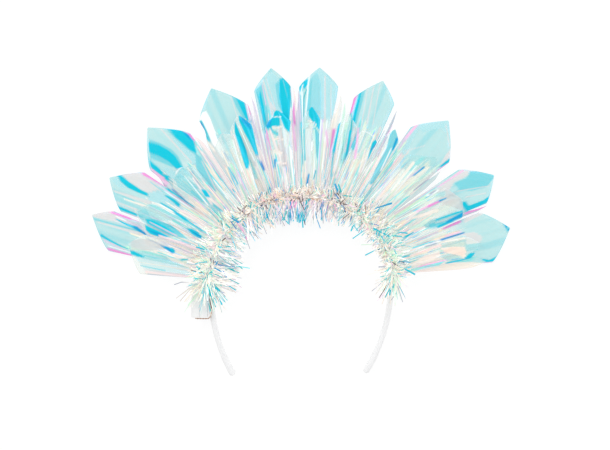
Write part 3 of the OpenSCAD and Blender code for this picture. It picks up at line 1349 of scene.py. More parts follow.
# The marks paint the film's iridescent reflections in fixed places (painted reflection); the WHITE marks are
# painted highlights
T = Tone

# Two marks that two petals share
CYAN_BLADE = Patch(
    T.CYAN, 235, 121, 238, 128, 242, 138, 246.5, 150, 249.5, 163, 248.5, 169, 246, 169, 243, 160, 239,
    146, 234.5, 132,
)
PINK_FOLD = Line(T.PINK, 358.5, 128, 355, 158, 2, 2.4)

BACK_PETALS = (
    Petal(163, 160.3, -1, 21, 0.78, 9, 0.85, (
        Patch(T.ICE, 90, 216, 100, 211, 110, 210, 125, 217, 141, 229, 120, 223, 101, 219),
        Line(T.SKY, 93, 219, 142, 232, 1, 2), Line(T.ICE, 97, 222, 140, 234, 1.5, 3),
        Patch(T.FROST, 118, 214, 130, 216, 148, 222, 149, 231, 135, 227, 122, 220),
        Line(T.WHITE, 115, 216, 142, 228, 1, 1.2), Line(T.PINK, 110, 212, 143, 222, 2, 2.2),
        Line(T.ROSE, 112, 212.5, 130, 218.5, 2.2, 2.6), Line(T.LILAC, 126, 221, 144, 229, 1.5, 2),
        Line(T.CYAN, 117, 219.5, 137, 228, 1.2, 2.6, 0.8), Line(T.AZURE, 135, 227.5, 148, 236, 3.2, 1.8),
        Line(T.CYAN, 101, 235.5, 129, 249.5, 2.6, 0.8, 0.8),
        Line(T.LILAC, 104, 240.5, 126, 251, 2.2, 1.6), Line(T.ROSE, 108, 249, 132, 256, 2.6, 2.2),
        Line(T.WHITE, 108, 246, 130, 252.5, 0.8, 0.8),
    )),
    Petal(147, 149.7, -1, 18.5, 0.80, 16.5, 0.78, (
        Patch(T.AQUA, 111, 180, 117, 176, 120, 181, 129, 188, 118, 187),
        Patch(T.ICE, 122, 175, 132, 172, 145, 173, 153, 180, 161, 190, 164, 199, 152, 195, 140, 189, 129,
            182),
        Patch(T.CYAN, 117, 175, 121, 175.5, 129, 182, 140, 189.5, 152, 195.5, 151, 197.5, 139, 193, 128,
            188, 120, 181), Line(T.SKY, 113, 189, 140, 199, 0.9, 1.4, 0.6),
        Line(T.SKY, 114, 193, 134, 201, 0.9, 1.2), Line(T.ICE, 114, 191, 150, 203, 1.6, 4),
        Line(T.CREAM, 124, 199, 148, 207, 1.2, 2.6), Line(T.ICE, 116, 202, 140, 211, 1.2, 2),
        Line(T.CYAN, 118, 207.5, 143, 217.5, 3, 1.6), Line(T.PINK, 124, 213, 144, 221, 1.4, 2.4),
        Line(T.ROSE, 143, 173.5, 165, 185.5, 3, 2.8), Line(T.SKY, 149, 181, 166, 194, 0.8, 1),
        Line(T.LILAC, 156, 183, 176, 198, 1.2, 1.5), Line(T.CYAN, 167, 188.5, 194, 207, 1.8, 0.9),
        Line(T.WHITE, 166, 192, 190, 208, 0.9, 1), Line(T.BLUE, 172, 189, 187, 202.5, 1.2, 0.9),
        Line(T.STEEL, 160, 181.5, 169, 189, 1.2, 0.8), Line(T.PINK, 152, 172.5, 167, 183, 2.4, 3),
        Patch(T.AQUA, 148, 193, 158, 190, 167, 194, 184, 209, 176, 212, 160, 204, 148, 200),
        Line(T.CREAM, 166, 202, 206, 228, 1.3, 1.5), Line(T.CREAM, 180, 206, 206, 223, 0.9, 1.2),
        Line(T.STEEL, 176, 196, 196, 210, 0.8, 0.8), Line(T.BLUSH, 175, 206, 198, 221, 1, 1.2),
        Line(T.CYAN, 160, 202.5, 175, 211.5, 1, 1.4), Line(T.CYAN, 166, 196, 178, 204.5, 1.6, 3.8, -0.6),
        Line(T.CYAN, 175, 212.5, 186, 220, 2.6, 2.8), Line(T.CYAN, 186, 220, 202, 230.5, 1.6, 1),
    )),
    Petal(131, 133.4, 0, 21.5, 0.76, 20, 0.74, (
        Patch(T.AQUA, 163, 166, 176, 172, 186, 170, 192, 176, 180, 178, 168, 178),
        Patch(T.AQUA, 173, 138, 184, 147, 197, 156, 200, 164, 192, 165, 181, 153),
        Patch(T.SKY, 149, 139, 160, 143, 171, 149, 178, 156, 184, 168, 186, 170, 172, 167, 160, 162, 150,
            158),
        Patch(T.CYAN, 148, 142, 158, 144.5, 168, 150, 175, 156, 183, 169, 178, 170, 168, 161, 158, 155.5,
            149, 152.5), Patch(T.SKY, 164, 127, 176, 127, 196, 150, 197, 156, 186, 148, 172, 135),
        Patch(T.CYAN, 168, 127, 182, 129, 191, 133, 194, 141, 196, 153, 190, 150, 183, 143.5, 175, 137),
        Patch(T.AZURE, 182, 131, 188, 133, 191, 140, 187, 137), Line(T.ICE, 160, 128, 191, 162, 1.4, 1.6),
        Line(T.WHITE, 192, 167, 209, 187, 1.6, 1.6), Line(T.ROSE, 187.5, 132, 193.5, 139, 1.8, 2.4),
        Line(T.LILAC, 182, 130, 188, 133, 1.2, 1.6),
        Patch(T.CYAN, 149, 160, 153, 163.5, 158, 167.5, 163, 172.5, 163, 178, 157, 174, 151, 168.5),
        Line(T.PINK, 150.5, 168.5, 165, 180, 1.6, 2.8),
        Patch(T.CYAN, 164, 174, 168.5, 176, 169, 181, 164, 179),
        Patch(T.SKY, 195, 153, 201, 157, 209, 171, 217, 189, 214, 193, 205, 185, 196, 168),
        Line(T.ICE, 202, 162, 216, 190, 0.8, 1.4), Line(T.STEEL, 194, 142, 206, 163, 1, 1),
        Line(T.CREAM, 202, 152, 222, 186, 1.6, 2), Line(T.BLUSH, 197, 146, 212, 168, 1.4, 1.8),
        Line(T.STEEL, 190, 168, 200, 183, 1, 1),
    )),
    Petal(115, 114, -2, 18.5, 0.80, 20, 0.78, (
        # Painted highlight: a broad white band of reflected light down the petal's left side
        Patch(T.WHITE, 199, 119, 202, 112, 206, 111, 210, 118, 214, 129, 220, 141, 227, 156, 222, 158,
            212, 147, 203, 131),
        Patch(T.FROST, 203, 140, 212, 146, 228, 166, 240, 196, 230, 192, 214, 168),
        Patch(T.FROST, 201, 133, 207, 134, 216, 150, 222, 160, 214, 158, 206, 146),
        Patch(T.AQUA, 215.5, 134, 230, 132, 231, 148, 224, 152, 219, 143),
        Line(T.SKY, 214, 147, 226, 166, 1.6, 2),
        Patch(T.SKY, 197, 121, 201.5, 120, 206, 129, 211, 141, 206, 144, 200, 134, 196.5, 127),
        Line(T.BLUE, 200.5, 123, 204, 130, 2.2, 1.8), Line(T.CYAN, 203, 131, 208, 141.5, 3.2, 2.4),
        Patch(T.SKY, 231, 94, 238, 98, 244, 108, 248, 119, 243, 119, 236, 107),
        Patch(T.CYAN, 236, 98, 244, 102, 248.5, 111, 252, 122, 247, 121, 242, 111),
        Line(T.LILAC, 245.5, 103, 250, 120, 1.6, 2.6), Line(T.ROSE, 247.5, 104, 250, 114, 1, 1.2),
        Line(T.STEEL, 221, 149, 237, 177, 1, 1.6), Line(T.ICE, 212, 147, 232, 177, 4, 5),
        Line(T.WHITE, 218, 141, 232, 168, 2.4, 1.2), Line(T.CREAM, 200, 133, 214, 150, 2.2, 2.2),
        Line(T.BLUE, 224, 152, 229, 161, 1.4, 1), Patch(T.AZURE, 229, 170, 235, 177, 235, 181, 231, 183),
        Line(T.SKY, 234, 182, 240, 188, 1.2, 1), Line(T.ICE, 231, 97, 238, 120, 0.8, 0.8),
    )),
    Petal(99, 97.7, 0.5, 15, 0.84, 13.5, 0.84, (
        Patch(T.AQUA, 264, 79, 271, 71, 280, 79, 282, 112, 276, 118, 270, 112),
        Patch(T.SKY, 255, 90, 262, 83, 265, 95, 267.5, 110, 269, 128, 265, 134, 262, 116, 258, 100),
        Patch(T.CYAN, 258.5, 95, 260.5, 91, 264, 107, 266.5, 124, 263, 120, 260.5, 104),
        Line(T.ICE, 263, 80, 273, 116, 1.4, 2.2), Line(T.ICE, 266, 78, 276, 110, 0.8, 0.8),
        Line(T.ICE, 269, 101, 275, 110, 2.2, 2.8), Line(T.PINK, 262, 84, 266, 105, 0.7, 0.9),
        Patch(T.SKY, 275, 84, 279, 80, 281, 100, 282, 112, 278, 104),
        Patch(T.CYAN, 279.5, 79, 283, 77.5, 289, 84, 290.5, 96, 290, 110, 289, 125, 287.5, 132, 284, 125,
            282, 112, 279, 97), Line(T.TEAL, 289.5, 85, 291.5, 103, 1.6, 1.2),
        Line(T.SKY, 283, 80, 287, 96, 0.8, 0.6), Line(T.LILAC, 291.5, 88, 294, 110, 2.4, 2.4),
        Line(T.ROSE, 292, 88, 294.5, 124, 1.4, 2.8), Line(T.CREAM, 291, 108, 291, 128, 1.5, 1.5),
        Line(T.PINK, 293, 124, 296, 150, 2.4, 2), Line(T.LILAC, 289, 128, 292, 150, 2, 1.5),
    )),
    Petal(83, 85.2, 0, 15, 0.84, 15, 0.86, (
        Patch(T.AQUA, 310, 73, 319, 67, 337, 86, 333, 118, 308, 118, 307, 92),
        Patch(T.POOL, 309, 80, 317, 72, 321, 84, 321, 108, 308, 118),
        Patch(T.POOL, 309, 84, 318, 76, 321, 90, 321, 111, 309, 118),
        Line(T.STEEL, 297, 91, 299.5, 112, 1.2, 1.4), Line(T.SKY, 311.5, 80, 307.5, 118, 1.4, 4.4),
        Line(T.ICE, 325, 76, 325, 120, 1.4, 2), Line(T.ICE, 331, 84, 331, 120, 0.8, 1.2),
        Line(T.AQUA, 335.5, 90, 333.5, 118, 1, 1.2), Line(T.WHITE, 309.5, 75, 307, 92, 1.4, 1.4),
        Patch(T.CYAN, 298.5, 89, 301, 84, 305, 80, 308.5, 78.5, 307.5, 84, 305, 88, 303, 87, 301, 91),
        Line(T.WHITE, 302, 92, 303, 120, 1.2, 1.4), Line(T.WHITE, 308, 90, 305, 120, 1.2, 1.4),
        Line(T.TEAL, 307, 88, 304, 97, 1.2, 1.2), Line(T.TEAL, 304, 97, 303.5, 120, 1.3, 1),
        Line(T.LILAC, 298.5, 92, 300.5, 120, 1.8, 2), Line(T.WHITE, 303, 84, 300.5, 93, 0.8, 0.8),
        Line(T.PINK, 326, 130, 328, 146, 2.2, 1.8), Line(T.ROSE, 334, 130, 330, 158, 3.4, 2.6),
        Line(T.CREAM, 337, 100, 331, 128, 1.4, 1.6), Line(T.CREAM, 323, 122, 325, 150, 1.2, 1.2),
    )),
    Petal(67, 68.6, 1, 16.5, 0.80, 14.5, 0.86, (
        Patch(T.SKY, 360, 90, 366, 88, 362, 104, 356, 126, 352, 132, 354, 112),
        Patch(T.CYAN, 359.5, 92, 362, 90.5, 359.5, 102, 356.5, 115, 353.5, 130, 350.5, 129, 354, 112,
            357, 101), Line(T.ROSE, 356, 94.5, 351, 113, 3.2, 2.2),
        Line(T.ICE, 368, 87, 361, 128, 0.8, 1), Line(T.ICE, 374, 86, 367, 124, 1.2, 1.6),
        Line(T.ICE, 380, 84, 373, 124, 0.7, 0.9), Line(T.TEAL, 351, 112, 352, 121, 1, 1.4),
        Line(T.AZURE, 352, 128, 349, 140, 3, 2.4), Line(T.CYAN, 350, 138, 344, 168, 3.2, 2.6),
        Line(T.SKY, 346, 140, 340, 168, 1.2, 1.4), Line(T.TEAL, 346, 158, 347, 172, 1.2, 1.6), PINK_FOLD,
        Line(T.STEEL, 356, 128, 352, 158, 1.2, 1), Line(T.SKY, 387, 124, 379, 138, 2, 2),
    )),
    Petal(51, 48.9, 1, 18, 0.77, 22, 0.77, (
        Patch(T.AQUA, 414, 126, 430, 121, 449, 119, 450, 134, 440, 128, 424, 132),
        Line(T.AQUA, 419, 124, 404, 152, 3, 5), Line(T.PINK, 419, 122.5, 404, 140, 2.6, 3.4),
        Line(T.LILAC, 405, 138, 399, 149, 2.8, 1.6), Line(T.ICE, 404, 151, 424, 146, 0.8, 0.8),
        Patch(T.ICE, 440, 166, 445, 156, 452, 147, 452, 158),
        Patch(T.CYAN, 439, 167, 446, 161, 451, 157.5, 451, 161.5, 443, 167),
        Line(T.ROSE, 439, 170, 449, 163.2, 1.6, 1.6), Line(T.LILAC, 426, 181, 444, 168, 1.4, 1.6),
        Line(T.ICE, 446, 124, 450, 146, 0.8, 1),
    )),
    Petal(35, 30.7, 1, 16.5, 0.78, 16.5, 0.85, (
        Patch(T.ICE, 440, 187, 460, 170, 476, 170, 464, 178, 454, 182, 450, 190, 438, 194),
        Patch(T.SKY, 455, 183, 465, 179, 477, 171, 485, 172, 495, 176.5, 487, 187, 471, 191, 458, 190),
        Patch(T.SKY, 470, 171, 486, 171.5, 496, 176.5, 484, 181, 466, 182),
        Line(T.ICE, 458, 191, 489, 186, 0.8, 0.8), Line(T.ICE, 466, 197, 486, 193, 1, 1),
        Patch(T.CYAN, 464, 207.5, 475, 203.5, 484, 200, 489.5, 196, 488.5, 201.5, 478, 207, 466, 211.5),
        Patch(T.CYAN, 460.5, 201, 466, 202, 468.5, 205, 467.5, 213, 463, 208),
        Line(T.ROSE, 466, 213.4, 486.5, 205.6, 1.8, 3), Line(T.PINK, 438, 187, 463, 170.5, 1.2, 2.2),
        Line(T.STEEL, 431, 193.5, 436.5, 190, 1.8, 1.4),
    )),
    Petal(18, 16.5, -4, 18, 0.79, 22, 0.79, (
        Patch(T.ICE, 464, 213, 478, 210.5, 486, 213, 475, 218, 465, 223),
        Patch(T.SKY, 503, 222, 508, 225.5, 511.5, 229, 509, 233, 506, 230),
        Line(T.AZURE, 504.5, 224, 509, 230, 1, 1.2),
        Patch(T.ICE, 460, 234, 475, 232, 483, 237, 480, 243, 466, 244),
        Patch(T.AQUA, 466, 244, 480.5, 243, 479, 249, 466, 251),
        Line(T.ROSE, 443, 229, 459.5, 221.8, 1.4, 2.8), Line(T.BLUE, 441, 240, 463.5, 233, 2.2, 1.4),
        Line(T.PINK, 446, 236.2, 461, 232, 1.2, 1.2), Line(T.LILAC, 418, 240, 438, 232, 1.8, 1.3),
        Line(T.STEEL, 425, 247, 437, 243, 1.4, 1.6),
        Patch(T.CREAM, 413, 268, 440, 263, 470, 262, 482, 263, 478, 267, 440, 272, 413, 275),
        Patch(T.CYAN, 481, 258.5, 490, 260, 497, 256.5, 495, 261.5, 487, 263),
        Line(T.PINK, 483, 263.5, 494, 262.5, 1.4, 1.6), Line(T.CREAM, 415, 271, 482, 263.5, 3, 1.6),
        Line(T.SKY, 411, 254.5, 419, 254, 2, 1.6),
    )),
)

BACK_SLIVERS = (
    Sliver(2, 149.5, 170.5, 139, 5.2, T.FROST, T.LILAC),
    Sliver(3, 158, 173.5, 137.5, 3.4, T.PALE, T.STEEL), Sliver(3, 194, 136, 124.5, 3.4, T.FROST, T.BLUSH),
    Sliver(4, 198.5, 119, 122, 4.4, T.FROST, T.STEEL), Sliver(4, 247, 103, 108.5, 1.8, T.SILVER, T.LILAC),
    Sliver(5, 251, 96, 107, 2, T.SILVER, T.LILAC), Sliver(5, 256, 90, 105.5, 3, T.WHITE, T.CREAM),
    Sliver(5, 293.5, 87, 92.5, 2, T.SILVER, T.BLUSH), Sliver(6, 298, 90, 90.5, 2.6, T.LILAC, T.PALE),
    Sliver(6, 341, 93, 76.5, 3, T.CREAM, T.SILVER), Sliver(7, 345, 101, 75, 2.6, T.WHITE, T.MINT),
    Sliver(7, 350, 112, 73.5, 2.2, T.MINT, T.SKY), Sliver(7, 397, 110, 60, 2.2, T.WHITE, T.STEEL),
    Sliver(8, 398, 115, 58.5, 2.4, T.PINK, T.WHITE), Sliver(8, 440.5, 171, 41.5, 3.4, T.PALE, T.FROST),
    Sliver(9, 434, 190, 38.5, 2.4, T.SILVER, T.WHITE), Sliver(9, 487.5, 205.5, 31, 2.2, T.FROST, T.STEEL),
    Sliver(10, 482, 264, 10.5, 2.6, T.CREAM, T.BLUSH),
)

MIDDLE_PETALS = (
    Petal(155, 154.3, 0, 13, 0.77, 11.5, 0.85, (
        Patch(T.PALE, 136, 208, 150, 204, 166, 207, 180, 219, 166, 221, 146, 219, 139, 214),
        Patch(T.AQUA, 137, 211, 146, 209, 151, 217, 147, 225, 140, 219),
        Patch(T.SKY, 145, 218, 158, 220, 171, 225, 180, 232, 188, 239, 172, 236, 160, 231, 147, 224),
        Patch(T.CYAN, 146, 219, 152, 220, 165, 226, 175, 233, 170, 234, 158, 228, 148, 223),
        Line(T.LILAC, 150, 222, 177, 236, 1, 1.6), Line(T.STEEL, 148, 225, 170, 236, 1.2, 1),
        Patch(T.CYAN, 145, 224.5, 150, 227, 160, 231.5, 169.5, 237, 161, 237.5, 150, 234, 146, 230),
        Patch(T.AZURE, 148, 230, 158, 232.5, 167, 236.5, 158, 236),
        Line(T.CREAM, 165, 202, 200, 225, 1.4, 1.8),
        Patch(T.CYAN, 186.5, 228.5, 192, 228.5, 201, 233.5, 202, 238.5, 197.5, 237.5, 192, 234),
        Line(T.AZURE, 194, 232.5, 200, 236.5, 1.4, 2), Line(T.MINT, 201, 233, 208, 235, 3.6, 4.4),
        Line(T.PALE, 170, 212, 195, 228, 3, 4), Line(T.STEEL, 150, 237, 185, 250, 1, 1.4),
        Line(T.BLUSH, 160, 236, 195, 248, 2, 2.6),
    )),
    Petal(108, 109.8, 2, 10.5, 0.86, 7, 0.84, (
        Patch(T.CYAN, 238.5, 115, 246, 119, 251.5, 123, 254, 134, 256, 144, 259, 156, 256, 156, 250, 143,
            244, 132, 239, 121),
        Patch(T.AZURE, 240, 116, 246, 119, 251, 124, 252, 130, 247, 127, 242, 122), CYAN_BLADE,
        Patch(T.SKY, 240, 145, 247, 160, 250, 170, 247, 172, 243, 162),
        Line(T.AQUA, 249, 152, 256, 178, 2.4, 3.4), Line(T.ICE, 241, 131, 255, 166, 3, 3.4),
        Line(T.WHITE, 239, 126, 254, 160, 1, 1), Line(T.BLUSH, 231, 131, 240, 160, 0.9, 1.2),
        Line(T.WHITE, 229, 133, 244, 172, 1.3, 1.6), Line(T.BLUE, 260.5, 162, 264, 170, 2.6, 2.2),
        Line(T.STEEL, 257, 155, 261, 163, 1, 1),
    )),
    Petal(97, 97.6, -1, 11, 0.81, 9.5, 0.84, (
        Patch(T.CYAN, 278.5, 112, 292, 112, 291, 120, 289.5, 133, 284.5, 128, 281, 119),
        Line(T.SKY, 270, 130, 277, 134, 3, 3.6), Line(T.ICE, 280, 128, 284, 165, 3.4, 4.4),
        Patch(T.CYAN, 265, 126, 268, 121, 273, 117, 274.5, 110, 279.5, 111, 280, 126, 273, 128, 270, 131,
            267, 129), Patch(T.AZURE, 265, 127, 269, 121, 272, 119, 270, 127),
        Line(T.WHITE, 272, 117, 281, 117, 0.7, 0.7), Line(T.CREAM, 273, 127.5, 281, 127, 2.6, 2),
        Line(T.ROSE, 266, 131, 270, 150, 2.2, 2.6), Line(T.BLUSH, 270, 130, 277, 150, 2, 2.6),
        Line(T.PEACH, 273, 139, 283, 139, 1.6, 1.2), Line(T.CREAM, 275, 152, 281, 153, 4, 3.4),
        Line(T.CREAM, 276, 163, 286, 163, 2.2, 1.8), Line(T.AZURE, 275, 159.5, 275, 168, 2.2, 1.4),
        Line(T.TEAL, 271, 167, 275, 178, 1.2, 1.5),
    )),
    Petal(86, 86.6, 0, 8, 0.82, 7, 0.86, (
        Patch(T.SKY, 315, 123, 320, 129, 320, 150, 321, 168, 317, 160, 314.5, 146, 313, 130),
        Patch(T.CYAN, 308.5, 110, 311, 106.5, 316, 106, 319.5, 110.5, 320.5, 119, 320, 130, 315, 127,
            311, 119.5, 308.5, 116), Line(T.MINT, 306, 124, 320, 134, 1.4, 1.4, -3),
        Line(T.CREAM, 308, 121, 316, 125, 1, 1.2, -1), Line(T.CYAN, 300.5, 119, 301, 127, 2.4, 2),
        Line(T.TEAL, 301, 127, 303, 165, 1.4, 0.8), Line(T.MIST, 308, 130, 309, 175, 4, 5.5),
        Line(T.MINT, 314, 130, 316, 168, 1.6, 2), Line(T.SKY, 304, 130, 305, 160, 1.6, 1.4),
        Line(T.AZURE, 309, 174, 306.8, 185, 1.6, 1.8), Line(T.TEAL, 316, 170, 313.5, 179, 1.5, 1.2),
    )),
    Petal(75, 75, -1, 6, 0.82, 9.5, 0.88, (
        Line(T.MINT, 346, 124, 340, 165, 3.4, 3.4), Line(T.PALE, 345, 130, 341, 162, 1.2, 1.4),
        Line(T.CYAN, 339.5, 123, 333.5, 152, 1.8, 2.8), Line(T.SKY, 333.5, 152, 331, 176, 1.8, 1.6),
        Line(T.TEAL, 352, 119, 351, 131, 1.4, 2), Line(T.CYAN, 350.5, 131, 345, 165, 2.6, 3),
        Line(T.PINK, 352, 142, 348, 160, 1.6, 1.6), Line(T.WHITE, 344, 122, 336, 170, 1, 1.3),
        Line(T.CREAM, 337, 150, 334, 172, 1.4, 1.6),
    )),
    Petal(60, 59.6, 2, 6, 0.83, 8.5, 0.88, (
        Patch(T.SKY, 390, 134, 394, 128.5, 398.5, 134, 398, 143, 390, 156, 380, 174, 373, 184, 369, 184,
            376, 168, 386, 149), Line(T.AZURE, 397, 139, 393, 149, 2.4, 2),
        Line(T.LILAC, 388, 130, 384, 142, 1, 1.4), Line(T.WHITE, 391, 149, 381, 170, 1, 1.2),
        Line(T.STEEL, 396, 150, 384, 172, 1.2, 1), Line(T.ROSE, 397, 152, 387, 173, 1.4, 2.2),
        Line(T.STEEL, 387, 137, 378, 156, 1, 1.2), Line(T.CREAM, 383, 147, 376, 164, 1.2, 1.2),
    )),
    Petal(28, 29.2, 1, 15, 0.90, 12, 0.90, (
        Patch(T.ICE, 440, 192, 456, 184, 461, 200, 464, 211, 450, 206, 438, 202),
        Patch(T.PALE, 433, 193, 444, 191, 446, 196, 436, 198),
        Line(T.CREAM, 413, 218, 437, 210.5, 2.4, 3.4), Line(T.MINT, 411, 228, 431, 221.5, 3.4, 4.4),
        Patch(T.AQUA, 423, 226, 431, 220, 445, 215, 457, 211, 463, 212, 461, 220, 450, 223, 440, 228,
            430, 229), Line(T.SKY, 431, 225.5, 442, 224, 4.4, 3.6),
        Line(T.CYAN, 436, 220, 462, 211, 1.2, 1.6), Line(T.CYAN, 438, 226.8, 452, 220.5, 2, 3.4),
        Line(T.AZURE, 448, 221.5, 463, 214.5, 2.4, 4.6), Line(T.STEEL, 440, 222, 457, 215, 0.8, 0.8),
        Line(T.ICE, 436, 223, 452, 217, 0.8, 0.8), Line(T.PINK, 417, 211.5, 430, 205.5, 1.6, 2.4),
        Line(T.ROSE, 429, 206, 440, 201, 2.6, 2), Line(T.AZURE, 439, 201, 445.5, 198.5, 2, 1.2),
    )),
    Petal(13, 14.5, 1.5, 10.5, 0.83, 9, 0.85, (
        Patch(T.CREAM, 410, 265, 424, 256, 440, 250, 441, 256, 430, 261, 414, 267),
        Patch(T.PALE, 465.5, 245, 481, 242.5, 478, 251, 471, 259, 465, 260),
        Patch(T.PEACH, 440, 248, 455, 246.5, 465.5, 247, 466.5, 258.5, 460, 256, 445, 252.5),
        Patch(T.PALE, 441, 257, 455, 254.5, 463, 259, 450, 262),
        Patch(T.PALE, 441, 241, 466, 239, 466, 246, 442, 247),
        Patch(T.CYAN, 465, 257, 470, 253, 475.5, 252.5, 472, 258, 466, 260.5),
        Line(T.CYAN, 447, 263, 467, 259.5, 1.6, 3), Line(T.LILAC, 453, 265, 466, 262.5, 1.2, 1.4),
        Line(T.CREAM, 424, 246, 464, 238, 1.6, 2.2), Line(T.BLUE, 441, 239.5, 463, 233, 1.8, 1.2),
        Line(T.LILAC, 430, 238, 455, 230, 1.4, 1.6), Line(T.STEEL, 414, 249, 436, 243.5, 1, 1.2),
    )),
)

FRONT_PETALS = (
    Petal(168, 165, 1, 19, 0.74, 11, 0.83, (
        Patch(T.ICE, 131, 241, 141, 238.5, 166, 242, 170, 249, 150, 250.5, 132, 250),
        Patch(T.AQUA, 137, 251, 150, 251.5, 166, 256, 172, 261, 190, 268, 190, 274, 165, 270, 142, 258.5),
        Patch(T.CYAN, 130, 250.5, 134, 250.5, 145.5, 257, 139, 257, 130.5, 254),
        Patch(T.PALE, 136, 257, 150, 260, 190, 268, 190, 277, 150, 271, 143, 267),
        Line(T.CREAM, 139, 262, 190, 270, 0.8, 1.2), Line(T.SKY, 141, 265.5, 165, 270.5, 0.8, 1.2),
        Line(T.ICE, 145, 269, 185, 275, 1.2, 1.8), Line(T.BLUSH, 146, 271.5, 188, 277, 2, 3),
        Line(T.AZURE, 161, 245, 173, 251, 1.4, 4.6), Line(T.CYAN, 172, 249, 174.5, 252, 3, 2),
        Line(T.BLUSH, 165, 237, 196, 249, 2.2, 3), Line(T.STEEL, 148, 239, 164, 246, 0.9, 1.1),
        Line(T.WHITE, 160, 240, 192, 252, 1, 1.2), Line(T.TEAL, 182, 259.5, 188, 259.5, 2, 1.6),
        Line(T.STEEL, 148, 274, 192, 279, 1.2, 1.6),
    )),
    Petal(137, 135.5, -3, 12.5, 0.86, 10.5, 0.88, (
        Patch(T.PALE, 173, 180, 181, 169, 190, 164, 199, 174, 205, 186, 196, 190, 184, 186),
        Patch(T.AQUA, 175, 178, 180, 173.5, 186, 178, 193, 185, 206, 197, 223, 211, 221, 215, 203, 203,
            190, 195, 178, 187), Line(T.SKY, 192, 191.5, 203, 200, 2.6, 3.2),
        Line(T.SKY, 206, 199, 222, 211.5, 2.6, 2), Line(T.BLUE, 192, 172, 198, 183, 1.4, 1.2),
        Line(T.WHITE, 172, 180, 190, 163, 1.2, 1.4, -2.4), Line(T.CREAM, 188, 168, 214, 202, 1.3, 1.8),
        Line(T.STEEL, 190, 172, 206, 192, 0.9, 1.1), Line(T.BLUSH, 193, 178, 212, 204, 1.6, 2.2),
        Patch(T.CYAN, 201, 189, 206, 190, 211, 197.5, 205.5, 197),
        Line(T.WHITE, 185, 176, 208, 205, 1, 1.3),
    )),
    Petal(119, 116.9, -1.5, 9, 0.87, 11.5, 0.88, (
        CYAN_BLADE, Line(T.ICE, 217, 136, 232, 133.5, 0.8, 0.8, -0.8),
        Line(T.WHITE, 233, 140, 242, 172, 1.2, 1.4), Line(T.CREAM, 222, 152, 236, 182, 1.4, 1.8),
        Line(T.SKY, 229, 168, 238, 184, 1.6, 1.6), Line(T.ICE, 205, 158, 222, 184, 3, 3.6),
        Line(T.BLUSH, 233, 132, 239, 152, 0.9, 1.1),
    )),
    Petal(68, 67.7, -2, 6, 0.84, 11, 0.88, (
        Line(T.WHITE, 359, 132, 373, 137, 0.9, 0.9, -2),
        Patch(T.CYAN, 367, 161, 370, 149, 372, 142.5, 376, 139, 380.5, 138, 378, 143.5, 373, 149, 369,
            158), Patch(T.SKY, 352, 133, 356, 132, 357.5, 141, 353, 152, 350.5, 147),
        Line(T.BLUE, 380, 139, 371, 150, 0.8, 1), Line(T.CREAM, 365, 150, 359, 172, 1.6, 2), PINK_FOLD,
        Line(T.BLUE, 383.5, 139.5, 376, 158, 1.3, 1.2), Line(T.WHITE, 369, 150, 361, 176, 1, 1.3),
    )),
    Petal(45, 44.4, 9, 18, 0.77, 8, 0.87, (
        Patch(T.PALE, 396, 150, 420, 151, 446, 156, 440, 166, 424, 167, 410, 172, 400, 168),
        Line(T.CREAM, 392, 190, 413, 163, 2.2, 3.4), Line(T.LILAC, 404, 181, 420, 169.5, 1.2, 2.4),
        Line(T.AZURE, 413, 176, 423.5, 167.5, 1.2, 1.8), Line(T.WHITE, 394, 194, 416, 166, 1.2, 1.4),
        Line(T.STEEL, 414, 190, 441, 170, 1.4, 2), Line(T.ICE, 405, 192, 436, 172, 2.6, 3.2),
    )),
)

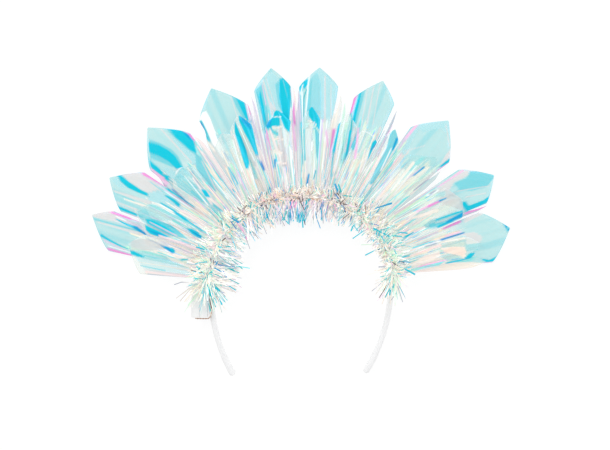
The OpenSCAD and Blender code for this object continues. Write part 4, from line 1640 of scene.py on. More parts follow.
# Bright strands that stand out in the photograph, by tone: the pixels where each starts and ends,
# then its widths there
# Painted reflections: each tone is the colour where the foil shines, and the UMBER and STEEL strands are
# painted dark reflections
BRIGHT_STRANDS = {
    T.TEAL: (
        (257.4, 218, 258.4, 231.3, 1.2, 1), (266.2, 193, 267.8, 198, 1.2, 1),
        (342.5, 195.6, 351.6, 196.4, 1.6, 1.4), (232, 216, 238, 219.5, 1.2, 1.2),
        (222, 224, 207.5, 208.5, 1, 0.8), (223.5, 221, 212, 208, 1.2, 1), (230, 228, 226, 224, 2.2, 2),
        (286, 213, 284, 221, 1.2, 1.2), (340.5, 192, 338, 184.5, 2.4, 2), (208, 284, 211, 296, 1.4, 1.4),
        (250.5, 208, 251.5, 202, 1.6, 1.4), (227.2, 246.2, 231.4, 246.5, 1.5, 1.4),
        (231.4, 258.6, 243, 268.6, 1.2, 1.4), (235.5, 259.5, 243, 263.6, 1, 1),
        (230.5, 268.6, 239.7, 272.4, 2, 1.2), (228, 277.7, 239.7, 283.5, 1, 1.3),
        (206.5, 292.6, 211.5, 310.9, 1.6, 1.6), (209.8, 291, 216.4, 306.7, 1.4, 1.2),
        (257.5, 206, 257.8, 214, 1.2, 1.2), (212, 282, 219, 288, 1.2, 1.2), (214, 300, 217, 292, 1.2, 1),
        (216, 274, 223, 277, 1.2, 1.2), (232, 222, 239, 218, 1.4, 1.4),
    ),
    T.AZURE: (
        (269.5, 187.3, 271.5, 193.4, 1.3, 1.2), (290.2, 209.7, 291.4, 220.5, 1.6, 1.6),
        (375.6, 208, 391.4, 203, 1.4, 2.6), (398.9, 261.4, 410.5, 261.8, 1.3, 1.2),
        (230.5, 217.2, 239.7, 222.1, 1.6, 2), (292.5, 212, 293, 219, 1.4, 1.4),
        (337, 191, 334.5, 184, 2.6, 2.4), (215.6, 267.7, 223, 271.9, 1.6, 1.4),
        (216.4, 264.4, 218, 261, 1.4, 1.4), (262, 192, 259, 200, 1.2, 1),
        (266.5, 212, 268.5, 218, 1.4, 1.8), (233, 218, 239, 223, 1.4, 1.4),
    ),
    T.BLUE: (
        (286.9, 201.4, 287.4, 210.5, 1, 1.2), (322.2, 203, 320, 209.7, 1.3, 1),
        (231, 221, 237, 229, 1.2, 1.4), (335, 194, 339, 199, 1.8, 1.4), (336, 195, 338, 198, 1.6, 1.8),
    ),
    T.CYAN: (
        (288, 216.3, 288.7, 223.8, 1, 1.2), (298.5, 214.7, 299.4, 223, 1.5, 1.5),
        (302.2, 213.8, 303.2, 227.6, 1.6, 1.8), (353.2, 225.5, 350.8, 231.3, 2, 1.6),
        (362.4, 231.6, 352.4, 238.7, 1.2, 1.4), (372.3, 251.5, 364.9, 255.3, 1.4, 1.6),
        (374.8, 213.8, 379.3, 208, 1, 1.2), (373.2, 228, 389, 236.2, 1.6, 2),
        (380, 231, 377, 237.9, 1.5, 1.2), (405.5, 236.2, 413, 232, 3, 1), (398.9, 232, 407, 233, 1.4, 2),
        (392.2, 235.4, 401.3, 236.2, 2, 1.4), (401.3, 266.9, 414.6, 274, 1.4, 2.4),
        (396.4, 280.2, 392.2, 287.6, 2, 2.6), (390.6, 289.3, 389.2, 295, 2, 1.6),
        (388.9, 289.3, 384.8, 297.3, 1.5, 1.4), (232.7, 189, 235.5, 192.3, 1.2, 1.2),
        (297, 213, 297.5, 222, 1.4, 1.4), (301, 216, 301, 222, 1.4, 1.6),
        (209, 250.8, 196.5, 247, 1.6, 1.8), (230.5, 286, 236.3, 289.6, 1.3, 1.5),
        (212.3, 285.2, 220.6, 290.1, 2, 2.6), (199.9, 268, 199, 272.7, 1.6, 2),
        (219.5, 297, 222.7, 304.2, 1, 2.4), (304, 215, 303.5, 221, 1.4, 1.4),
        (283, 217, 289, 224, 1.2, 1.4), (354, 226, 358, 231, 1.2, 1.2), (377, 229, 376, 235, 1.4, 1.2),
        (381, 236, 384, 241, 1.4, 1.2), (393, 248, 396, 254, 1.4, 1.2), (387, 243, 391, 239, 1.4, 1.2),
        (404, 256, 409, 255.5, 1.4, 1.4),
    ),
    T.UMBER: (
        (302.2, 194.8, 302.7, 201.4, 1.4, 1.4), (392, 262, 398, 266, 1.2, 1),
        (209, 296, 212.5, 308, 1.2, 1), (244, 209, 247, 205, 1.4, 1.2), (345, 199, 341, 203, 1.4, 1.4),
        (339.5, 201, 341, 205, 1.6, 1.4), (349, 214, 343, 219, 1, 0.9), (337, 193, 342, 199, 1.6, 1.4),
        (241, 209, 246, 215, 1.4, 1.2),
    ),
    T.STEEL: (
        (322.2, 215.5, 323.4, 221.3, 1.2, 1), (329.2, 207.2, 335.8, 218.3, 1.3, 1),
        (383.9, 266.6, 378.1, 266.9, 1.4, 1.8), (397.2, 291, 390.6, 300, 1, 0.9),
        (398, 287.6, 402.2, 301.7, 1, 1), (227, 222, 219, 211, 1.4, 1), (212, 283, 215, 296, 1.2, 1.2),
        (205, 286, 209, 300, 1.2, 1), (240, 214, 243, 208, 1.4, 1.2),
        (243, 229.6, 250.4, 248.7, 1.2, 0.9), (223.9, 250.3, 232.2, 253.7, 1.4, 1.4),
        (214.8, 293.5, 219.7, 301, 1, 1), (182, 282, 175, 284.5, 1.3, 1.3),
        (318, 203, 316, 210, 1.2, 1.2), (323, 218, 323.2, 223.5, 1.2, 1), (262, 222, 267, 234, 1, 0.8),
        (252, 229, 255, 236, 1.2, 1), (341, 193, 343.5, 199, 1.6, 1.4), (246, 210, 243, 216, 1.4, 1.2),
        (217, 279, 224, 284, 1.2, 1.2), (221, 291, 226, 296, 1, 1), (353, 202, 358, 206, 1.4, 1.2),
    ),
    T.MINT: (
        (370.3, 244.5, 360.7, 244.9, 1.4, 1.2), (228, 226, 215, 213, 1.4, 1),
    ),
    T.LILAC: (
        (241.3, 225.5, 248, 239.6, 2, 1.4), (238, 220, 250, 237, 1, 1), (222, 232, 232, 243, 1, 1),
        (287.5, 199, 287, 205, 1.6, 1.4),
    ),
    T.ROSE: (
        (237, 222, 244, 232, 0.8, 0.9), (293, 201, 290, 209, 1, 1), (296.5, 203, 294.5, 208, 1.4, 1.2),
        (243, 228, 247, 239, 1, 1),
    ),
    T.ICE: (
        (190.7, 289.3, 180.8, 301, 1, 1.4), (190, 288, 177, 298, 1, 1),
    ),
}


# Tinsel

@dataclass(frozen=True)
class Tuft:
    """Strands that leave the garland's core, with one number to a strand.

    They start at degrees along the garland. Their angle is 0 outwards and 90 upwards, and their
    sway is the share of their direction that runs along the garland. A share of those right over
    the crown, warm, takes the crown's tones.
    """

    degrees: Array
    angle: Array
    sway: Array
    length: Array
    width: Array
    tones: Palette
    crown: Palette
    warm: float


@dataclass
class Garland:
    """Tinsel: a twisted core with thousands of cut foil strands."""

    arc_radius: float = 72.5
    z: float = 13.5
    from_deg: float = 7.0
    to_deg: float = 178.0
    core: float = 4.2
    short_strands: int = 2700
    inner_strands: int = 1000
    outer_strands: int = 1500
    end_strands: int = 200
    rings: int = 5
    seed: int = 41
    level: float = 27.5
    press: float = 0.4
    ground: float = 0.7
    thin: float = 0.35
    taper: float = 0.2
    bend: float = 0.1
    droop: float = 0.08
    twist: float = 1.3
    root: Range = (0.1, 0.7)
    width: Range = (0.6, 1.1)
    flicker: Range = (0.72, 1.15)

    # How far the strands reach inwards and outwards, in millimetres, at angles along the garland
    reach_deg: tuple[float, ...] = (7, 30, 50, 62, 75, 90, 105, 120, 140, 155, 165, 178)
    inner_mm: tuple[float, ...] = (9, 8, 11, 13, 17, 21, 22, 20, 18, 20, 25, 27)
    outer_mm: tuple[float, ...] = (12, 18, 18, 12, 9, 8, 8, 9, 13, 16, 17, 16)

    # In these palettes the UMBER and STEEL strands are painted dark reflections in the foil
    tones: Palette = Palette(
        WHITE=0.24, SILVER=0.15, CREAM=0.05, MINT=0.11, ICE=0.12, FROST=0.12, STEEL=0.06, LILAC=0.04,
        TEAL=0.055, CYAN=0.035, UMBER=0.01, BLUSH=0.03,
    )
    crown_tones: Palette = Palette(
        BEIGE=0.17, CREAM=0.09, WHITE=0.15, SILVER=0.10, ICE=0.12, COPPER=0.07, UMBER=0.10, STEEL=0.09,
        LILAC=0.06, PINK=0.02, BLUE=0.02, TEAL=0.02,
    )
    fringe_tones: Palette = Palette(
        WHITE=0.26, SILVER=0.18, ICE=0.14, FROST=0.14, STEEL=0.08, TEAL=0.06, LILAC=0.07, CYAN=0.02,
        BLUE=0.015, UMBER=0.01,
    )
    crown_fringe_tones: Palette = Palette(
        ICE=0.15, WHITE=0.10, BEIGE=0.10, SILVER=0.08, STEEL=0.13, LILAC=0.12, TEAL=0.11, CYAN=0.08,
        AZURE=0.05, BLUE=0.04, UMBER=0.04, ROSE=0.015,
    )
    crown_deg: float = 94.0
    crown_half: float = 40.0
    crown_depth: float = 1.1
    depth: float = 1.4
    shine: float = 0.8
    bright_lift: Range = (5.5, 6.5)

    def frame_at(self, degrees: Array) -> tuple[Array, Array, Array]:
        """Work out the garland's middle line at angles along it.

        Args:
            degrees: the angles.

        Returns:
            The points, the outward directions and the directions along the line.
        """
        out = np.insert(polar(1.0, degrees), 2, 0.0, axis=-1)
        heading = np.insert(polar(1.0, degrees + 90), 2, 0.0, axis=-1)
        return out * self.arc_radius + UP * self.z, out, heading

    def sweep(self, shell: Shell, path: Array, half: Array, up: Array, turn: Array, colours: Array) -> None:
        """Add strands with a flat three-sided section.

        Each ring of three points lies round the path: the half width times the wide direction
        times a cosine, plus a third of that times the thin direction times a sine.

        Args:
            shell: the garland's shell.
            path: middle line of each strand, strands by rings by three.
            half: half the width at each ring.
            up: direction that the thin side faces before it turns.
            turn: angle that the section turns by, at each ring.
            colours: colour of each ring, three numbers each.
        """
        heading = unit(np.gradient(path, axis=1))
        side = unit(np.cross(heading, up))
        over = np.cross(heading, side)
        wide = side * np.cos(turn) + over * np.sin(turn)
        thin = over * np.cos(turn) - side * np.sin(turn)
        corner = (np.arange(3) * 2 * np.pi / 3)[:, None]
        ring = wide[:, :, None] * np.cos(corner) + self.thin * thin[:, :, None] * np.sin(corner)
        points = (path[:, :, None] + half[..., None] * ring).reshape(-1, 3)
        first = np.arange(len(path))[:, None] * self.rings * 3
        sides = (first[..., None] + ring_faces(self.rings, 3)).reshape(-1, 4)
        last = first + (self.rings - 1) * 3
        ends = np.concatenate([first + (2, 1, 0), last + (0, 1, 2)])
        paint = np.insert(colours, 3, 1.0, axis=-1).reshape(-1, 4)
        shell.add(points, (sides, ends), None, np.repeat(paint, 3, axis=0))

    def paint(self, tuft: Tuft, rng: Rng) -> Array:
        """Choose a tone for each strand, and vary it along them.

        A strand takes the crown's tones more seldom with its angle from the crown, as a bell
        curve falls.

        Args:
            tuft: the strands.
            rng: random numbers.

        Returns:
            The colour of each ring of the strands.
        """
        count = len(tuft.degrees)
        odds = tuft.warm * np.exp(-((tuft.degrees - self.crown_deg) / self.crown_half) ** 2)
        is_warm = rng.random(count) < odds
        over_crown = tuft.crown.colours(self.crown_depth, count, rng)
        elsewhere = tuft.tones.colours(self.depth, count, rng)
        chosen = np.where(is_warm[:, None], over_crown, elsewhere)[:, None]
        return np.clip(chosen * rng.uniform(*self.flicker, (count, self.rings, 1)), 0, 1)

    def spread(self, shell: Shell, tuft: Tuft, rng: Rng) -> None:
        """Add strands that leave the core.

        A strand's line is its root, plus its aim times the length and the share along it, plus
        its bend times the length and the share squared. The section turns as it runs out. The
        strands are pressed down above the garland's level, and stay above the ground.

        Args:
            shell: the garland's shell.
            tuft: the strands.
            rng: random numbers.
        """
        count = len(tuft.degrees)
        middle, out, heading = self.frame_at(tuft.degrees)
        lean = polar(1.0, tuft.angle)
        aim = out * lean[:, :1] + UP * lean[:, 1:]
        root = middle + aim * rng.uniform(*self.root, (count, 1)) * self.core
        aim = unit(aim + heading * tuft.sway[:, None])
        bend = rng.normal(0, self.bend, (count, 3)) - self.droop * UP
        share = np.linspace(0, 1, self.rings)[None, :, None]
        run = aim[:, None] * share + bend[:, None] * share ** 2
        path = root[:, None] + run * tuft.length[:, None, None]
        path[..., 2] = np.minimum(path[..., 2], mix(self.level, path[..., 2], self.press))
        path[..., 2] = np.maximum(path[..., 2], self.ground)
        twist = rng.uniform(0, 6.3, (count, 1, 1)), rng.uniform(-self.twist, self.twist, (count, 1, 1))
        turn = twist[0] + twist[1] * share
        half = tuft.width[:, None, None] / 2 * (1 - self.taper * share)
        colours = self.paint(tuft, rng)
        self.sweep(shell, path, half, rng.normal(size=(count, 1, 3)), turn, colours)

    def add_bright(self, shell: Shell) -> None:
        """Add the bright strands: each leaves the core pale, then runs flat where it shines.

        Args:
            shell: the garland's shell.
        """
        for tone, strands in BRIGHT_STRANDS.items():
            first, last, width = np.split(np.array(strands, float), 3, axis=1)
            first, last = (
                np.insert(to_plan(spot), 2, self.z + lift, axis=1)
                for spot, lift in zip((first, last), self.bright_lift)
            )
            degrees = np.mod(np.degrees(np.arctan2(first[:, 1], first[:, 0])) + 90, 360) - 90
            core, _, _ = self.frame_at(np.clip(degrees, self.from_deg, self.to_deg))
            path = np.stack([core, mix(core, first, 0.6), first, mix(first, last, 0.5), last], axis=1)
            half = width @ [[1, 1, 1, 0.5, 0], [0, 0, 0, 0.5, 1]] * MM_PER_PX / 2
            pale, bright = Tone.SILVER.linear, tone.linear * self.shine
            colours = np.tile([pale, pale, bright, bright, bright], (len(strands), 1, 1))
            turn = np.zeros(colours.shape[:2] + (1,))
            self.sweep(shell, path, half[..., None], np.array([[[0.02, 0.01, 1.0]]]), turn, colours)

    def tufts(self, rng: Rng) -> Iterator[Tuft]:
        """Draw the strands, in the order in which they are added.

        Args:
            rng: random numbers, which are drawn in the order of the lines.

        Yields:
            The short strands all round the core, the inner and the outer fringe, and the strands
            that cover the garland's left end and its right end.
        """
        count = self.short_strands
        yield Tuft(
            degrees=rng.uniform(self.from_deg, self.to_deg, count),
            angle=rng.uniform(-50, 230, count),
            sway=rng.normal(0, 0.9, count),
            length=rng.uniform(2.5, 6.0, count),
            width=rng.uniform(0.7, 1.3, count),
            tones=self.tones, crown=self.crown_tones, warm=1.0,
        )
        count = self.inner_strands
        degrees = mix(self.from_deg, self.to_deg, rng.random(count) ** 0.8)
        yield Tuft(
            degrees=degrees,
            length=np.interp(degrees, self.reach_deg, self.inner_mm) * rng.uniform(0.4, 1.0, count),
            angle=rng.uniform(145, 190, count),
            sway=rng.normal(0, 0.25, count),
            width=rng.uniform(*self.width, count),
            tones=self.fringe_tones, crown=self.crown_fringe_tones, warm=1.0,
        )
        count = self.outer_strands
        degrees = rng.uniform(self.from_deg, self.to_deg, count)
        yield Tuft(
            degrees=degrees,
            length=np.interp(degrees, self.reach_deg, self.outer_mm) * rng.uniform(0.35, 1.0, count),
            angle=rng.uniform(0, 65, count),
            sway=rng.normal(0, 0.4, count),
            width=rng.uniform(*self.width, count),
            tones=self.tones, crown=self.crown_tones, warm=0.7,
        )
        count = self.end_strands
        for end, way, lowest in ((self.to_deg, 1.0, -10), (self.from_deg, -1.0, 70)):
            yield Tuft(
                sway=way * np.abs(rng.normal(1.4, 1.0, count)),
                degrees=end - way * rng.uniform(0, 9, count),
                angle=rng.uniform(lowest, 200, count),
                length=rng.uniform(8, 24, count),
                width=rng.uniform(*self.width, count),
                tones=self.tones, crown=self.tones, warm=0.0,
            )

    def build(self, material: Material) -> None:
        """Make the garland in two pieces: its dense middle and its long strands.

        Args:
            material: the foil.
        """
        rng = np.random.default_rng(self.seed)
        dense, fringe = Shell(), Shell()
        for number, tuft in enumerate(self.tufts(rng)):
            self.spread(dense if number == 0 else fringe, tuft, rng)
        self.add_bright(fringe)
        for name, shell in (("tinsel_middle", dense), ("tinsel_strands", fringe)):
            piece = shell.build(name, [material], crease=60, paint_name=STRAND_PAINT)
            settle(piece, Body.TIARA, Slot.TINSEL, "tinsel_garland")


# Headband

@dataclass
class Headband:
    """A slim hoop in satin ribbon, whose ends are folded into short sleeves."""

    radius: float = 69.0
    thickness: float = 4.4
    width: float = 10.0
    leg_radius: float = 122.0
    left_leg_deg: float = 33.2
    right_leg_deg: float = 28.7
    lean: float = -3.5
    edge: float = 2.0
    sleeve: float = 15.0
    sleeve_extra: float = 0.28
    sleeve_rise: Range = (-0.5, 0.1)
    hem: float = 0.1
    hem_in: float = 1.2
    hem_half: float = 0.25
    seam: float = 0.12
    seam_at: float = 1.6
    seam_half: float = 0.16
    tip_height: float = 0.82
    swell: float = 0.08
    step: float = 0.9
    cap_rows: int = 9
    cap_deg: float = 88.0
    corner_points: int = 9
    side_points: int = 6

    def route(self) -> tuple[Array, Array, Array]:
        """Work out the band's line from the right tip to the left tip.

        The upper half is half a circle about the origin. Each leg is an arc of the larger leg
        radius that starts along the half circle's end.

        Returns:
            The points, the outward directions, and the distance from the nearer tip.
        """
        right, left = np.radians([self.right_leg_deg, self.left_leg_deg]) * self.leg_radius
        crown = math.pi * self.radius
        whole = right + crown + left
        way = np.linspace(0, whole, int(whole / self.step) + 1)
        is_left = way > right + crown / 2
        near = np.where(is_left, whole - way, way)
        mirror = np.where(is_left, -1.0, 1.0)
        past_leg = near - np.where(is_left, left, right)
        bend = np.where(past_leg < 0, self.leg_radius, self.radius)
        centre = self.radius - bend
        turn = past_leg / bend
        points = np.stack([mirror * (centre + bend * np.cos(turn)), bend * np.sin(turn)], axis=1)
        out = np.stack([mirror * np.cos(turn), np.sin(turn)], axis=1)
        lean = np.radians(self.lean)
        spin = np.array([[np.cos(lean), np.sin(lean)], [-np.sin(lean), np.cos(lean)]])
        return points @ spin, out @ spin, near

    def section(self) -> Array:
        """Work out the ribbon's section: a rectangle with round corners.

        Returns:
            Its points, outwards and upwards from the band's middle, counter-clockwise.
        """
        half = np.array([self.thickness, self.width]) / 2 - self.edge
        corners = []
        for number, side in enumerate([(1, 1), (-1, 1), (-1, -1), (1, -1)]):
            degrees = np.linspace(0, 90, self.corner_points) + 90 * number
            corners.append(polar(self.edge, degrees) + half * side)
        flat = np.linspace(0, 1, self.side_points + 2)[1:-1, None]
        inner = mix(corners[1][-1], corners[2][0], flat)
        outer = mix(corners[3][-1], corners[0][0], flat)
        return np.concatenate([*corners[:2], inner, *corners[2:], outer])

    def build(self, material: Material) -> None:
        """Sweep the ribbon's section along the line.

        The section grows in the sleeves, closes to a half round at both tips, and carries a low
        lengthwise seam on the inner side.

        Args:
            material: the ribbon's material.
        """
        points, out, near = self.route()
        section = self.section()
        last = len(points) - 1
        caps = np.radians(np.linspace(0, self.cap_deg, self.cap_rows))
        turn = np.concatenate([caps[::-1], np.zeros(last - 1), caps])
        index = np.clip(np.arange(len(turn)) - self.cap_rows + 1, 0, last)
        ahead = unit(np.where(index[:, None] == 0, points[0] - points[1], points[-1] - points[-2]))
        cap = self.thickness / 2
        path = points[index] + ahead * (cap * np.sin(turn))[:, None]
        squeeze = np.cos(turn)
        near = near[index]
        grow = self.sleeve_extra * (1 - smooth_step(*self.sleeve_rise, near - self.sleeve))
        grow = grow + self.hem * np.exp(-((near - self.sleeve + self.hem_in) / self.hem_half) ** 2)
        thick = squeeze * (1 + grow / cap)
        tall = mix(self.tip_height, 1.0, smooth_step(0.0, 0.6, squeeze)) * (1 + self.swell * grow)
        seam = self.seam * np.exp(-((section[:, 1] - self.seam_at) / self.seam_half) ** 2)
        radial = (section[:, 0] - seam * (section[:, 0] < 0)) * thick[:, None]
        height = self.width / 2 + section[:, 1] * np.minimum(tall, 1.0)[:, None]
        plan = path[:, None] + out[index][:, None] * radial[..., None]
        surface = np.concatenate([plan, height[..., None]], axis=-1)
        rows, columns = surface.shape[:2]
        measures = np.stack(np.broadcast_arrays(travelled(section), travelled(path)[:, None]), axis=-1)
        walls = ring_faces(rows, columns)[:, ::-1]
        fan = np.arange(1, columns - 1)[:, None] + (0, 1)
        fan = np.insert(fan, 0, 0, axis=1)
        shell = Shell()
        faces = (walls, fan, fan[:, ::-1] + (rows - 1) * columns)
        shell.add(surface.reshape(-1, 3), faces, measures.reshape(-1, 2))
        piece = shell.build("ribbon_headband", [material], crease=50)
        settle(piece, Body.TIARA, Slot.RIBBON, "headband")


# Battery case

@dataclass
class BatteryBox:
    """The battery case's two halves, with moulded edges, and the ribbed switch."""

    edge: float = 1.0
    seam_edge: float = 0.15
    seam_close: float = 0.06
    edge_steps: int = 4
    ribs: int = 4
    rib_depth: float = 0.25
    rim_drop: float = 0.2
    rim_z: float = 0.1
    rim_y: float = 0.05
    touch_m: float = 1e-5
    merge_m: float = 1e-6
    flat_deg: float = 1.0

    def soften(self, node: str, name: str, seam_side: int, material: Material) -> Piece:
        """Copy a CAD node, merge its points and round its outer edges.

        An edge counts as outer where both its ends lie on the same two sides of the node's box.
        The edges along the seam get a finer radius, and the seam is closed to a hair.

        Args:
            node: the CAD node.
            name: name of the new piece.
            seam_side: 1 where the seam is at the highest X, and -1 where it is at the lowest.
            material: its material.

        Returns:
            The piece.
        """
        work = bmesh.new()
        work.from_mesh(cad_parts[node].data)
        bmesh.ops.remove_doubles(work, verts=work.verts, dist=self.merge_m)
        flat = math.radians(self.flat_deg)
        bmesh.ops.dissolve_limit(work, angle_limit=flat, verts=work.verts, edges=work.edges)
        low, high = (np.array(corner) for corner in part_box(node))
        ends = np.array([[tuple(end.co) for end in edge.verts] for edge in work.edges])
        gaps = np.concatenate([np.abs(ends - low), np.abs(ends - high)], axis=2)
        sides = (gaps < self.touch_m).all(axis=1)
        is_outer = sides.sum(axis=1) >= 2
        is_seam = sides[:, 3 if seam_side > 0 else 0]
        outer = [edge for edge, yes in zip(work.edges, is_outer & ~is_seam) if yes]
        seam = [edge for edge, yes in zip(work.edges, is_outer & is_seam) if yes]
        plane = high[0] if seam_side > 0 else low[0]
        facing = [point for point in work.verts if abs(point.co.x - plane) < self.touch_m]
        bmesh.ops.translate(work, verts=facing, vec=(seam_side * self.seam_close * MM, 0.0, 0.0))
        for edges, radius in ((seam, self.seam_edge), (outer, self.edge)):
            live = [edge for edge in edges if edge.is_valid]
            bmesh.ops.bevel(
                work, geom=live, offset=radius * MM, offset_type="OFFSET", segments=self.edge_steps,
                profile=0.5, affect="EDGES", clamp_overlap=True,
            )
        mesh = bpy.data.meshes.new(name)
        work.to_mesh(mesh)
        work.free()
        mesh.materials.clear()
        mesh.materials.append(material)
        shade_smooth(mesh, crease=50)
        piece = put(name, mesh)
        piece.modifiers.new("flat faces", "WEIGHTED_NORMAL").keep_sharp = True
        return piece

    def switch(self, material: Material) -> Piece:
        """Make the switch's knob: a bar whose outer face is cut into ribs.

        The outer face lies at the CAD box's side, less the rib depth times a rounded zigzag
        along the bar.

        Args:
            material: its material.

        Returns:
            The piece.
        """
        low, high = (np.array(corner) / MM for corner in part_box("switch_slider"))
        y, z = np.meshgrid(np.linspace(0, 1, 16 * self.ribs + 1), np.linspace(0, 1, 9), indexing="ij")
        valley = 0.5 - 0.5 * np.cos(2 * np.pi * self.ribs * y)
        rim = window(0, 1, self.rim_z, self.rim_z, z) * window(0, 1, self.rim_y, self.rim_y, y)
        x = low[0] + self.rim_drop * (1 - rim) + self.rib_depth * valley * rim
        outer = np.stack([x, mix(low[1], high[1], y), mix(low[2], high[2], z)], axis=-1)
        inner = outer.copy()
        inner[..., 0] = high[0]
        points, faces = between(outer, inner)
        shell = Shell()
        shell.add(points, (faces,))
        return shell.build("switch_knob", [material], crease=35)

    def build(self, case_material: Material, switch_material: Material) -> None:
        """Make both halves and the switch.

        Args:
            case_material: plastic of the case.
            switch_material: plastic of the switch.
        """
        case = self.soften("battery_case", "case_inner_half", -1, case_material)
        settle(case, Body.TIARA, Slot.CASE, "battery_case")
        cover = self.soften("battery_cover", "case_outer_half", 1, case_material)
        settle(cover, Body.TIARA, Slot.CASE, "battery_cover")
        knob = self.switch(switch_material)
        settle(knob, Body.SWITCH, Slot.SWITCH, "switch_slider")


# Light wire and drops

@dataclass
class LightString:
    """Two twisted copper wires from the case into the tinsel, with ten drops of clear resin."""

    z: float = 10.8
    arc_radius: float = 68.9
    arc_from_deg: float = 174.0
    arc_to_deg: float = 9.0
    arc_step_deg: float = 5.0
    step: float = 0.45
    strand: float = 0.24
    twist: float = 4.5
    drops: int = 10
    first_deg: float = 160.75
    step_deg: float = 15.0
    drop_radius: float = 67.6
    drop_z: float = 12.3
    drop_d: float = 3.0
    drop_l: float = 4.2
    chip_half_l: float = 0.8
    chip_radius: float = 0.5

    def route(self) -> Array:
        """Work out the wire's middle line: the lead out of the case, then the arc in the tinsel.

        Returns:
            The points of the line.
        """
        lead = np.array([
            [-81.5, -21.5, 7.5], [-81.3, -21.8, 7.5], [-80.6, -22, 7.5], [-77, -22, 8.4], [-73, -22, 10],
            [-71, -21.8, self.z], [-69.8, -20.6, self.z], [-69.2, -18.6, self.z], [-68.9, -14, self.z],
            [-68.8, -6, self.z],
        ])
        degrees = np.arange(self.arc_from_deg, self.arc_to_deg - 1, -self.arc_step_deg)
        arc = np.insert(polar(self.arc_radius, degrees), 2, self.z, axis=1)
        return smooth_path(np.concatenate([lead, arc]), self.step, 3)

    def wire(self, material: Material) -> None:
        """Wind two strands about the middle line.

        Each strand lies at the middle line plus its radius times (side cosine + over sine) of an
        angle that grows evenly along the line.

        Args:
            material: the copper.
        """
        path = self.route()
        side, over = across_path(path)
        shell = Shell()
        for start in (0.0, np.pi):
            turn = (start + 2 * np.pi * np.arange(len(path)) * self.step / self.twist)[:, None]
            centre = path + self.strand * (side * np.cos(turn) + over * np.sin(turn))
            shell.add(*tube(centre, self.strand, sides=6))
        piece = shell.build("twisted_wire", [material], crease=60)
        settle(piece, Body.TIARA, Slot.COPPER, "light_wire")

    def drop(self, number: int, resin: Material, chip: Material) -> None:
        """Make one drop: a resin capsule round a small light chip.

        The capsule's outline runs along its axis with the radius of a half circle at both ends,
        and bulges slightly in the middle.

        Args:
            number: number of the drop, from 1.
            resin: material of the capsule.
            chip: material of the chip.
        """
        degrees = self.first_deg - (number - 1) * self.step_deg
        out, along = (np.append(polar(1.0, degrees + turn), 0.0) for turn in (0, 90))
        centre = np.append(polar(self.drop_radius, degrees), self.drop_z)
        radius, straight = self.drop_d / 2, (self.drop_l - self.drop_d) / 2
        rise = np.radians(np.linspace(-90, 90, 15))
        turn = np.radians(np.arange(0, 360, 18))[:, None]
        reach = radius * np.sin(rise) + straight * np.sign(rise) * smooth_step(0, 0.5, np.abs(rise))
        size = radius * np.cos(rise[1:-1])
        ring = out * np.cos(turn) - UP * np.sin(turn)
        axis = centre + along * reach[:, None]
        shell = Shell()
        shell.add(*closed_rings(axis[1:-1, None] + ring * size[:, None, None], axis[[0, -1]]))
        chip_axis = centre + along * np.linspace(-self.chip_half_l, self.chip_half_l, 5)[:, None]
        shell.add(*tube(chip_axis, self.chip_radius, sides=6), slot=1)
        piece = shell.build(f"resin_drop_{number}", [resin, chip], crease=50)
        settle(piece, Body.TIARA, Slot.DROP, f"light_drop_{number}")

    def build(self, copper: Material, resin: Material, chip: Material) -> None:
        """Make the wire and its drops.

        Args:
            copper: material of the wire.
            resin: material of the drops.
            chip: material of the light chips in them.
        """
        self.wire(copper)
        for number in range(1, self.drops + 1):
            self.drop(number, resin, chip)


# Studio

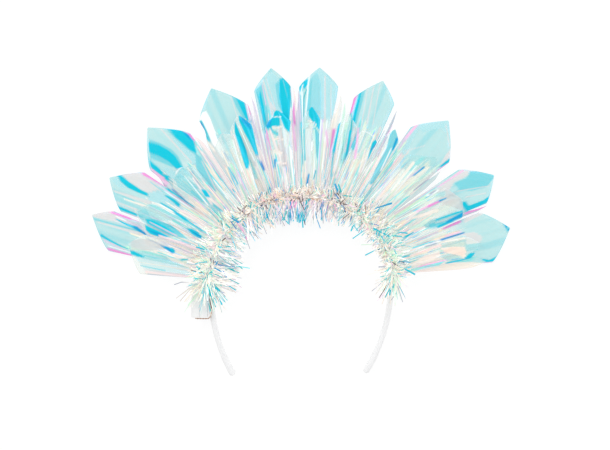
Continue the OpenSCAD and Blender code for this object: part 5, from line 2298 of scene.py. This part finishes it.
@dataclass
class Studio:
    """A pale floor, soft light from all round, and the camera straight above the tiara.

    Heights, places and sizes of the camera and the lights are in metres.
    """

    centre_px: tuple[float, float] = (305.0, 225.0)
    camera_height: float = 2.008
    object_height: float = 0.008
    sensor: float = 36.0
    sky: float = 0.72
    floor_half: float = 4000.0
    floor_below: float = 0.3
    see_through: int = 24

    # Name, place, size and power of each light
    lights: tuple[tuple[str, tuple[float, float, float], float, float], ...] = (
        ("left light", (-1.5, 0.5, 1.3), 1.2, 9.0),
        ("right light", (1.5, 0.2, 1.3), 1.2, 7.0),
        ("crown light", (0.1, 1.6, 1.1), 1.0, 6.0),
    )

    def floor(self) -> None:
        """Make the floor."""
        corners = np.array([(-1, -1, 0), (1, -1, 0), (1, 1, 0), (-1, 1, 0)]) * self.floor_half
        shell = Shell()
        shell.add(corners - UP * self.floor_below, (np.array([[0, 1, 2, 3]]),))
        shell.build("floor", [FloorFinish().make()], crease=40)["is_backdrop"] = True

    def camera(self) -> None:
        """Make the camera at the photograph's angle and distance scale."""
        lens = bpy.data.cameras.new("camera")
        distance = self.camera_height - self.object_height
        lens.sensor_width = self.sensor
        lens.lens = self.sensor * distance / (PHOTO_W_PX * MM_PER_PX * MM)
        lens.clip_end = 100.0
        mount = put("camera", lens)
        mount.location = (*(to_plan(self.centre_px) * MM), self.camera_height)
        bpy.context.scene.camera = mount

    def light(self, name: str, place: tuple[float, float, float], size: float, power: float) -> None:
        """Make a large soft light that points at the tiara.

        Args:
            name: name of the light.
            place: where it hangs.
            size: length of its side.
            power: its power in watts.
        """
        lamp = bpy.data.lights.new(name, "AREA")
        lamp.size = size
        lamp.energy = power
        mount = put(name, lamp)
        mount.location = place
        mount.rotation_euler = mount.location.to_track_quat("Z", "Y").to_euler()

    def build(self) -> None:
        """Make the studio."""
        self.floor()
        self.camera()
        for light in self.lights:
            self.light(*light)
        scene = bpy.context.scene
        scene.world = bpy.data.worlds.new("studio")
        scene.world.use_nodes = True
        sky = scene.world.node_tree.nodes["Background"]
        sky.inputs["Color"].default_value = opaque((1, 1, 1))
        sky.inputs["Strength"].default_value = self.sky
        scene.view_settings.view_transform = "Standard"
        scene.cycles.transparent_max_bounces = self.see_through


def main() -> None:
    """Build the tiara and its studio."""
    logging.basicConfig(level=logging.INFO, format="%(message)s")
    Studio().build()
    film = FilmFinish().make()
    tinsel = TinselFinish().make()
    Headband().build(RibbonFinish().make())
    # The middle and front rows take a pale painted rim highlight
    short = {
        "face": Tone.MIST, "cover": 0.3, "rim": Tone.SILVER, "columns": 64, "facets": 12, "streaks": 26,
        "dashes": 3, "specks": 24,
    }
    rows = (
        PetalRow(
            "back_petal", reach=172, foot_radius=71.5, foot_half=6.6, z=3.4, lift=0.6, seed=100,
            petals=BACK_PETALS, slivers=BACK_SLIVERS,
        ),
        PetalRow(
            "middle_petal", reach=141, foot_radius=71.5, foot_half=4.4, z=7.4, lift=4.6, seed=200,
            petals=MIDDLE_PETALS, **short,
        ),
        PetalRow(
            "front_petal", reach=136, foot_radius=76.0, foot_half=5.5, z=11.4, lift=6.0, seed=300,
            petals=FRONT_PETALS, **short,
        ),
    )
    for row in rows:
        row.build(film)
    Garland().build(tinsel)
    case = PlasticFinish("case plastic", (247, 247, 247))
    knob = PlasticFinish("switch plastic", (212, 212, 215), 0.42)
    BatteryBox().build(case.make(), knob.make())
    chip = PlasticFinish("light chip", (238, 222, 150), 0.5)
    LightString().build(CopperFinish().make(), ResinFinish().make(), chip.make())
    boxes = {"cad": cad_box, "visual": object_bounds()}
    {name: [list(corner) for corner in box] for name, box in boxes.items()}


if __name__ == "__main__":
    main()
